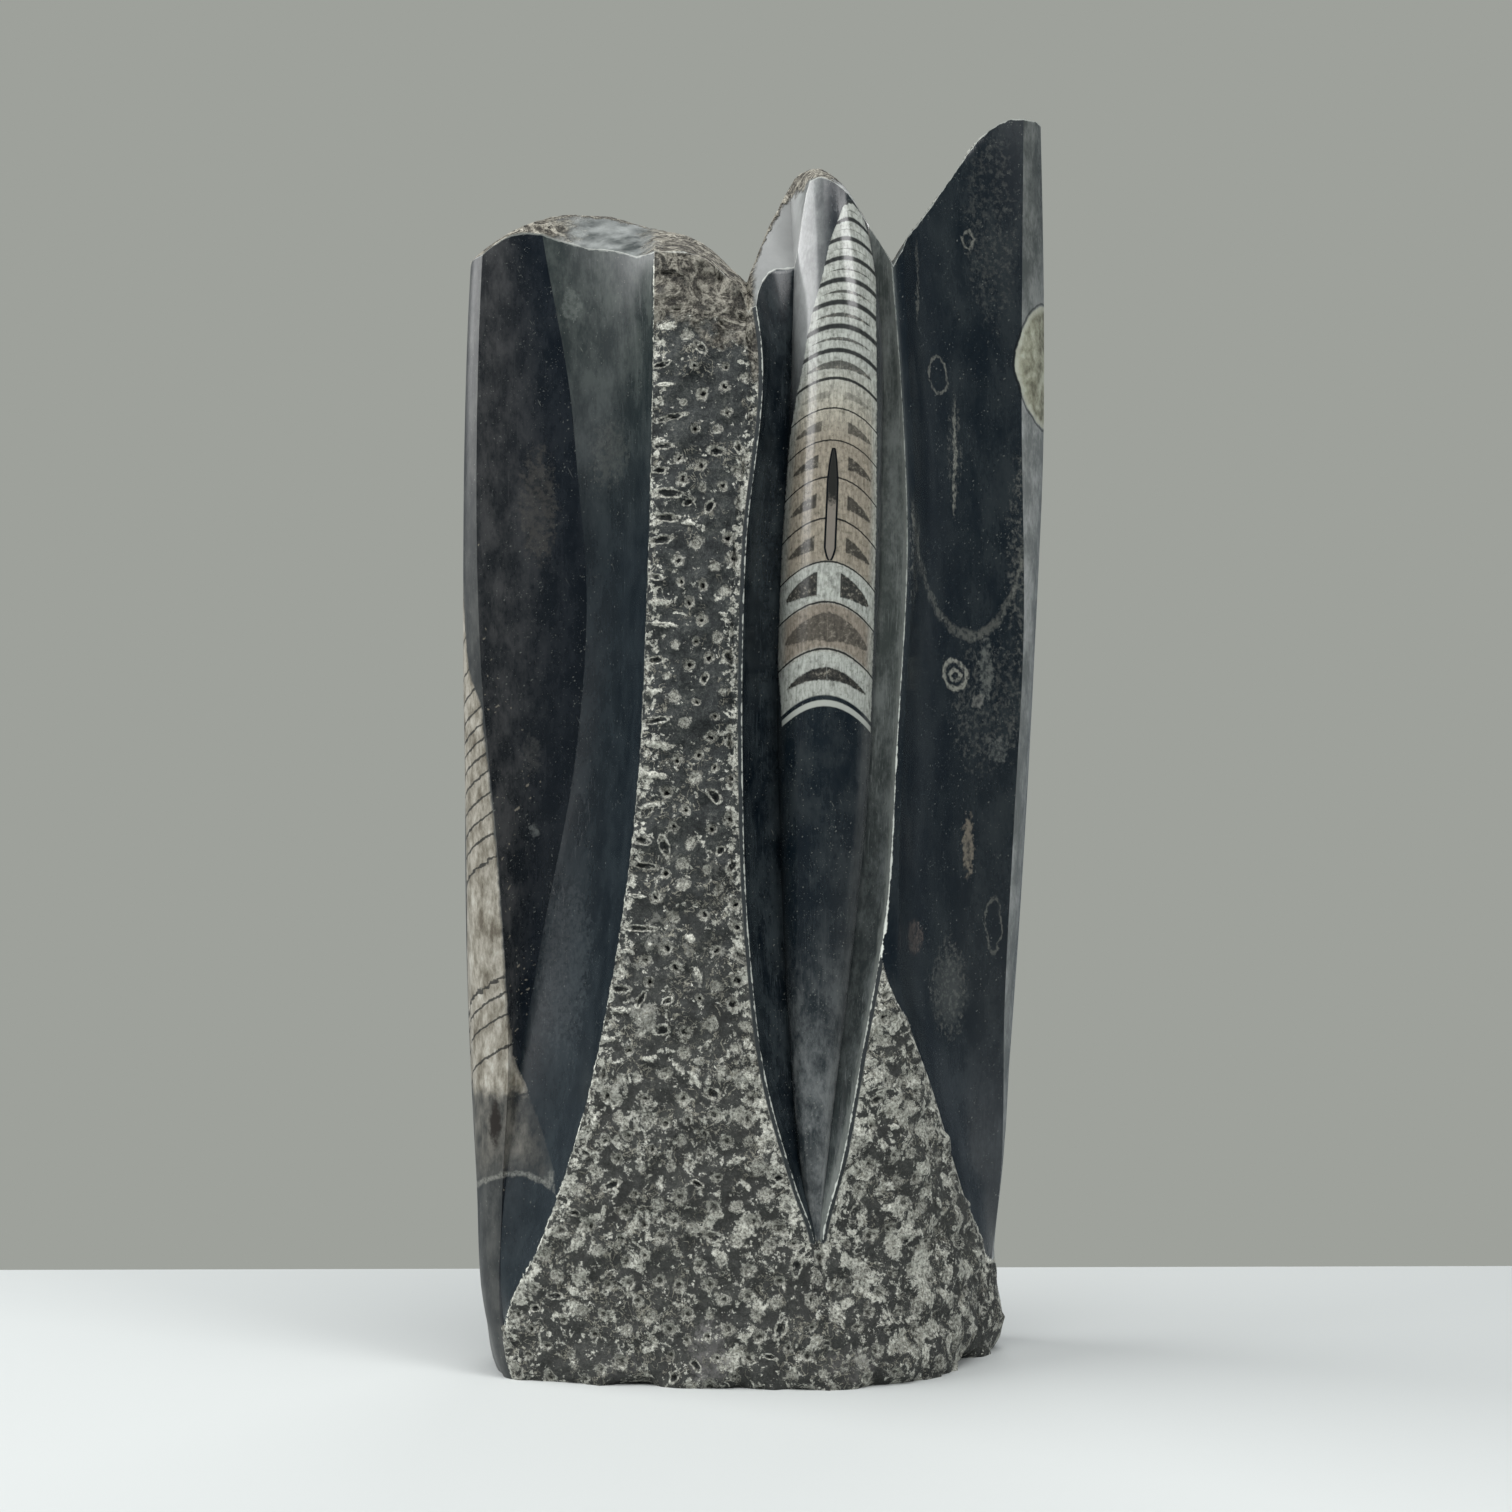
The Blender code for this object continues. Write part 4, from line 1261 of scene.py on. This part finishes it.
@finish(roughness=0.21)
def right_flute_limestone(place):
    """The right flute: near black, with faint cuts through shells."""
    height = parts(place)[2]
    low_down = rise(height, 105.0, 70.0)
    darks = ((0.003, 0.007, 0.011), (0.014, 0.019, 0.024))
    lights = ((0.020, 0.026, 0.029), (0.040, 0.048, 0.054))
    colour, relief = graded_polish(place, low_down, darks, lights, 12.0, 0.9, 0.30)
    colour = shell_cuts(place, colour)
    colour = frayed_pieces(place, colour, [
        ((61.0, 0.0, 150.2), (1.9, 9.0, 8.8), 0.65, (0.21, 0.185, 0.145)),
        ((43.5, -20.8, 123.7), (3.4, 9.0, 5.0), 0.55, (0.10, 0.08, 0.07)),
        ((66.5, 3.5, 202.0), (2.4, 9.0, 9.0), 0.45, (0.16, 0.17, 0.155)),
        ((63.9, 1.0, 192.8), (2.0, 9.0, 2.1), 0.55, (0.20, 0.20, 0.18)),
        ((70.4, 6.5, 178.6), (3.2, 9.0, 3.8), 0.35, (0.14, 0.15, 0.14))])

    # A fan of scratches low in the flute
    fan = shell_outline(place, (55.0, -5.5, 108.0), (9.0, 14.0, 14.0))
    scratches = slanting_scratches(place, 0.56)
    smear = mottle(place, 2.0, detail=4.0, roughness=0.7)
    colour = mix(rise(fan + smear, 0.5, -0.2) * (scratches * 0.6 + 0.25), colour, (0.15, 0.16, 0.15))
    colour = oval_shell(place, colour)
    colour = chipped_arris(place, colour)

    # The bright arris beside the leaf, and a painted sheen next to it
    from_arris = stored(place, "leaf_arris")
    bright = rise(height, 250.0, 215.0, 0.35, 1.0)
    colour = mix(bruised_edge(place, from_arris, 0.75) * bright, colour, (0.78, 0.81, 0.74))
    painted_sheen = rise(from_arris, 3.0, 0.5) * rise(height, 200.0, 240.0)
    return mix(painted_sheen * 0.5, colour, (0.11, 0.125, 0.12)), relief


@finish(roughness=0.26)
def right_side_limestone(place):
    """The bevel beside the right flute, painted lighter as a painted reflection, and the right side, with
    the rest of the round shell.
    """
    # The bevel's lighter colours, strongest below the top, are a painted reflection
    bevel = rise(stored(place, "girth"), 10.5, 9.9)
    bevel = bevel * rise(parts(place)[2], 345.0, 265.0, 0.25, 1.0)
    darks = ((0.030, 0.036, 0.034), (0.14, 0.15, 0.145))
    lights = ((0.13, 0.14, 0.13), (0.34, 0.35, 0.34))
    colour, relief = graded_polish(place, bevel, darks, lights, 8.0, 0.6, 0.35)
    return oval_shell(place, colour), relief


def chisel_blows(place, light, low_down):
    """The blows of the point, as masks of their pale stone and of the painted shade in their hollows and
    pits: round ones are crushed patches, many with a pit, and long ones are rims or bars."""
    along, across, reach = stored_parts(place, "blow")
    kind = stored(place, "blow_kind")
    apart = vector("LENGTH", join(along, across, 0.0))
    near = rise(abs(reach - apart), 0.30, 0.12)
    along = along + (mottle(place, 1.9, detail=4.0, roughness=0.65) - 0.5) * 1.5
    across = across + (mottle(place, 2.6, detail=4.0, roughness=0.65) - 0.5) * 1.7
    apart = vector("LENGTH", join(along, across, 0.0))
    ragged = mottle(place, 1.1, detail=4.0, roughness=0.72) - 0.5
    worn = apart + ragged * 1.5
    is_long = kind > LONG
    is_bar = kind > BAR
    larger = low_down * (mottle(place, 8.0, detail=2.0) - 0.38) * 0.9
    patch = rise(worn - larger, 1.0, 0.7) * rise(light, 0.36, 0.56, 0.25, 1.0) * (1.0 - is_long)
    rim = rise(abs(apart + ragged * 0.5 - 0.85), 0.30, 0.12)
    rim = rim * rise(ragged, -0.16, 0.02, 0.15, 1.0)
    bar = rise(worn, 0.85, 0.60) * is_bar
    pale = higher(patch, higher(rim * is_long * (1.0 - is_bar), bar)) * near
    # The hollow and pit masks carry painted shade
    hollow = rise(apart, 0.75, 0.55) * is_long * (1.0 - is_bar) * near
    pit = rise(apart + ragged * 0.3, 0.34, 0.22) * near * (1.0 - is_long)
    return pale, hollow, pit * (kind > PITTED)


@finish(roughness=0.60, specular=0.35, depth=0.7)
def chiselled_limestone(place):
    """The ground worked with a point chisel: dark broken grain and pale crushed blows."""
    height = parts(place)[2]
    low_down = rise(height, 190.0, 60.0)
    light, grain_height = broken_grain(place, 1.1)

    # Dark flats, bluer up the stone and greyer towards the foot, with a salt and pepper grain
    patches = mottle(place, 7.0, detail=4.0, roughness=0.6)
    flats = ramp(light + (patches - 0.5) * 0.35, [
        (0.36, (0.004, 0.006, 0.007)), (0.46, (0.014, 0.018, 0.019)), (0.56, (0.042, 0.048, 0.046)),
        (0.66, (0.11, 0.115, 0.10)), (0.76, (0.32, 0.32, 0.27))])
    greyer = mix(0.28, flats, (0.075, 0.070, 0.058))
    colour = mix(low_down, flats, greyer)

    # Broad pale bruises near the foot
    area = mottle(place, 24.0, detail=2.0) - 0.5
    bruise = mottle(place, 6.0, detail=5.0, roughness=0.60, distortion=0.5) + area * 0.22
    girth = stored(place, "girth")
    wedge = rise(girth, 6.5, 7.0) * rise(girth, 8.6, 8.4)
    bruise = rise(bruise + (light - 0.5) * 0.30 + wedge * 0.05, 0.57, 0.62)
    bruise = bruise * higher(rise(height, 175.0, 30.0), wedge)
    crushed = crushed_stone(place)
    colour = mix(bruise * 0.85, colour, crushed)

    # Smooth scars where flakes came off the foot
    colour = frayed_pieces(place, colour, [
        ((-15.5, -52.0, 9.0), (6.0, 14.0, 9.0), 0.70, (0.16, 0.155, 0.15)),
        ((-40.0, -48.0, 5.0), (6.0, 14.0, 5.0), 0.50, (0.10, 0.10, 0.098)),
        ((24.0, -50.0, 7.0), (8.0, 14.0, 4.5), 0.45, (0.13, 0.125, 0.12))])

    # Squiggly crests left between the blows
    squiggle = mottle(place, 3.4, detail=2.0, roughness=0.55, distortion=0.9)
    crest = rise(abs(squiggle - 0.5), 0.040, 0.014)
    where = rise(mottle(place, 9.0, detail=3.0) + low_down * 0.04, 0.52, 0.60)
    crest = crest * where * rise(light, 0.42, 0.54)
    colour = mix(crest * 0.9, colour, CREAM)

    # Crumbs of crushed stone
    by_edge = rise(abs(stored(place, "dressing")), 6.5, 0.5)
    crumbs = mottle(place, 2.4, detail=5.0, roughness=0.68) + low_down * 0.03 + by_edge * 0.11
    colour = mix(rise(crumbs, 0.60, 0.65) * 0.85, colour, crushed)

    pale, hollow, pit = chisel_blows(place, light, low_down)
    # Painted shade: the long blows' hollows darkened and the pits painted black, less near the foot
    colour = mix(hollow * 0.45, colour, (0.012, 0.015, 0.016))
    colour = mix(pale * 0.95, colour, crushed)
    colour = mix(pit * rise(height, 110.0, 60.0, 1.0, 0.6), colour, BLACK)

    # Under the crown the ground was never dressed: brown stone, folded as it broke
    ragged_edge = (mottle(place, 7.0, detail=4.0) - 0.5) * 40.0
    undressed = rise(stored(place, "from_rim") + ragged_edge, 24.0, 16.0)
    brown, brown_height = brown_break(place)
    colour = mix(undressed * 0.9, colour, brown)

    # The thin polished bevel beside the leaf, with its bright arrises
    arris = stored(place, "leaf_arris")
    bevel = rise(arris, LEAF_BEVEL + 0.1, LEAF_BEVEL - 0.15)
    colour = mix(bevel, colour, (0.020, 0.025, 0.027))
    bright = bruised_edge(place, arris, 0.32)
    inner = bruised_edge(place, abs(arris - LEAF_BEVEL), 0.22)
    colour = mix(higher(bright, inner * 0.15), colour, (0.42, 0.44, 0.40))
    stand_out = grain_height + pale * 0.5 + crest * 0.6 - pit * 2.0 + undressed * brown_height
    return colour, stand_out * (1.0 - bevel)


@finish(roughness=0.5, specular=0.3, depth=0.9)
def broken_limestone(place):
    """The crown: brown broken stone behind, and pale polished bevels in front, one with a painted
    reflection.
    """
    x, _, height = parts(place)
    wander = mottle(place, 5.0, detail=5.0) - 0.5
    behind = stored(place, "behind_ridge") + wander * 9.0
    bevelled = rise(x + wander * 20.0, -63.0, -51.0) * rise(x + wander * 16.0, -29.0, -36.0)
    bevelled = higher(bevelled, rise(x + wander * 3.0, -4.0, -2.0))
    peak = rise(height + wander * 12.0, 337.0, 340.0) * rise(x, 26.0, 22.0)
    bevelled = bevelled * (1.0 - peak)
    rough = higher(rise(behind, -3.0, -1.0), 1.0 - bevelled)
    brown, brown_height = brown_break(place)
    clouds = mottle(place, 7.0, detail=5.0, roughness=0.6)
    # A painted reflection on the middle lobe's bevel near the top
    painted_reflection = rise(x, -6.0, -3.0) * rise(x, 14.0, 8.0) * rise(height, 296.0, 318.0)
    bevel = ramp(clouds, [(0.34, (0.045, 0.052, 0.050)), (0.66, (0.27, 0.285, 0.275))])
    bevel = mix(painted_reflection * 0.85, bevel, (0.25, 0.255, 0.25))
    colour = mix(rough, bevel, brown)
    crisp = rise(x, -58.0, -44.0, 0.15, 0.55)
    rim = bruised_edge(place, stored(place, "from_rim"), 0.6)
    colour = mix(rim * crisp, colour, (0.60, 0.62, 0.57))
    return colour, brown_height * rough, rise(rough, 0.0, 1.0, 0.48, 0.75)


@finish(roughness=0.6, specular=0.4, depth=0.2)
def sawn_limestone(place):
    """The sawn foot: dull grey with fine grain."""
    light, height = broken_grain(place, 1.5)
    return ramp(light, [(0.35, (0.03, 0.033, 0.034)), (0.65, (0.10, 0.105, 0.10))]), height


stone = make_stone(FINISHES)
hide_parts("orthoceras_stone")
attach(stone, "root")

# ---------------------------------------------------------------- floor, camera and light

CAMERA_PLACE = (-0.018, -0.862, 0.1412)
CAMERA_PITCH = 2.3469   # degrees up
CAMERA_TURN = 1.1143    # degrees to the right
CAMERA_LENS = 69.71     # millimetres on a 36 mm sensor


FLOOR_HALF_WIDTH = 3.0  # metres
FLOOR_NEAR = -3.0
FLOOR_FAR = 0.20


def make_floor():
    """A plain matt white sheet under the stone."""
    mesh = bpy.data.meshes.new("floor")
    left, right = -FLOOR_HALF_WIDTH, FLOOR_HALF_WIDTH
    mesh.from_pydata([(left, FLOOR_NEAR, 0), (right, FLOOR_NEAR, 0), (right, FLOOR_FAR, 0),
                      (left, FLOOR_FAR, 0)], [], [(0, 1, 2, 3)])
    material, shader = new_material("pale_floor", 0.7, 0.2)
    plug(shader.inputs["Base Color"], (0.55, 0.57, 0.56))
    mesh.materials.append(material)
    floor = add_object("floor", mesh)


def make_camera():
    """The view of the carved front."""
    data = bpy.data.cameras.new("camera")
    data.sensor_width = 36
    data.lens = CAMERA_LENS
    turn = (pi / 2 + radians(CAMERA_PITCH), 0, -radians(CAMERA_TURN))
    bpy.context.scene.camera = add_object("camera", data, CAMERA_PLACE, turn)


def make_softbox(name, place, size, power, aim=(0, 0, 0.18)):
    """A soft light that looks towards the stone."""
    data = bpy.data.lights.new(name, "AREA")
    data.shape = "RECTANGLE"
    data.size, data.size_y = size
    data.energy = power
    towards = Vector(aim) - Vector(place)
    add_object(name, data, place, towards.to_track_quat("-Z", "Y").to_euler())


def make_world():
    """A grey room: pale where the camera looks, dimmer all round."""
    world = bpy.data.worlds.new("grey_room")
    bpy.context.scene.world = world
    world.use_nodes = True
    tree = world.node_tree
    seen = Term(tree, add(tree, "LightPath").outputs["Is Camera Ray"])
    plug(tree.nodes["Background"].inputs["Color"], mix(seen, (0.11, 0.13, 0.145), (0.342, 0.356, 0.328)))


bpy.context.scene.view_settings.view_transform = "Standard"
make_floor()
make_camera()
make_world()
make_softbox("top_light", (0.1, -0.7, 1.8), (1.3, 1.3), 24)
make_softbox("left_light", (-1.3, -0.1, 1.0), (2.3, 1.0), 42, aim=(0, -0.1, 1.0))
make_softbox("right_light", (0.9, -1.0, 1.1), (0.6, 0.6), 9)
make_softbox("back_light", (0.3, 1.6, 1.2), (0.8, 0.8), 6)
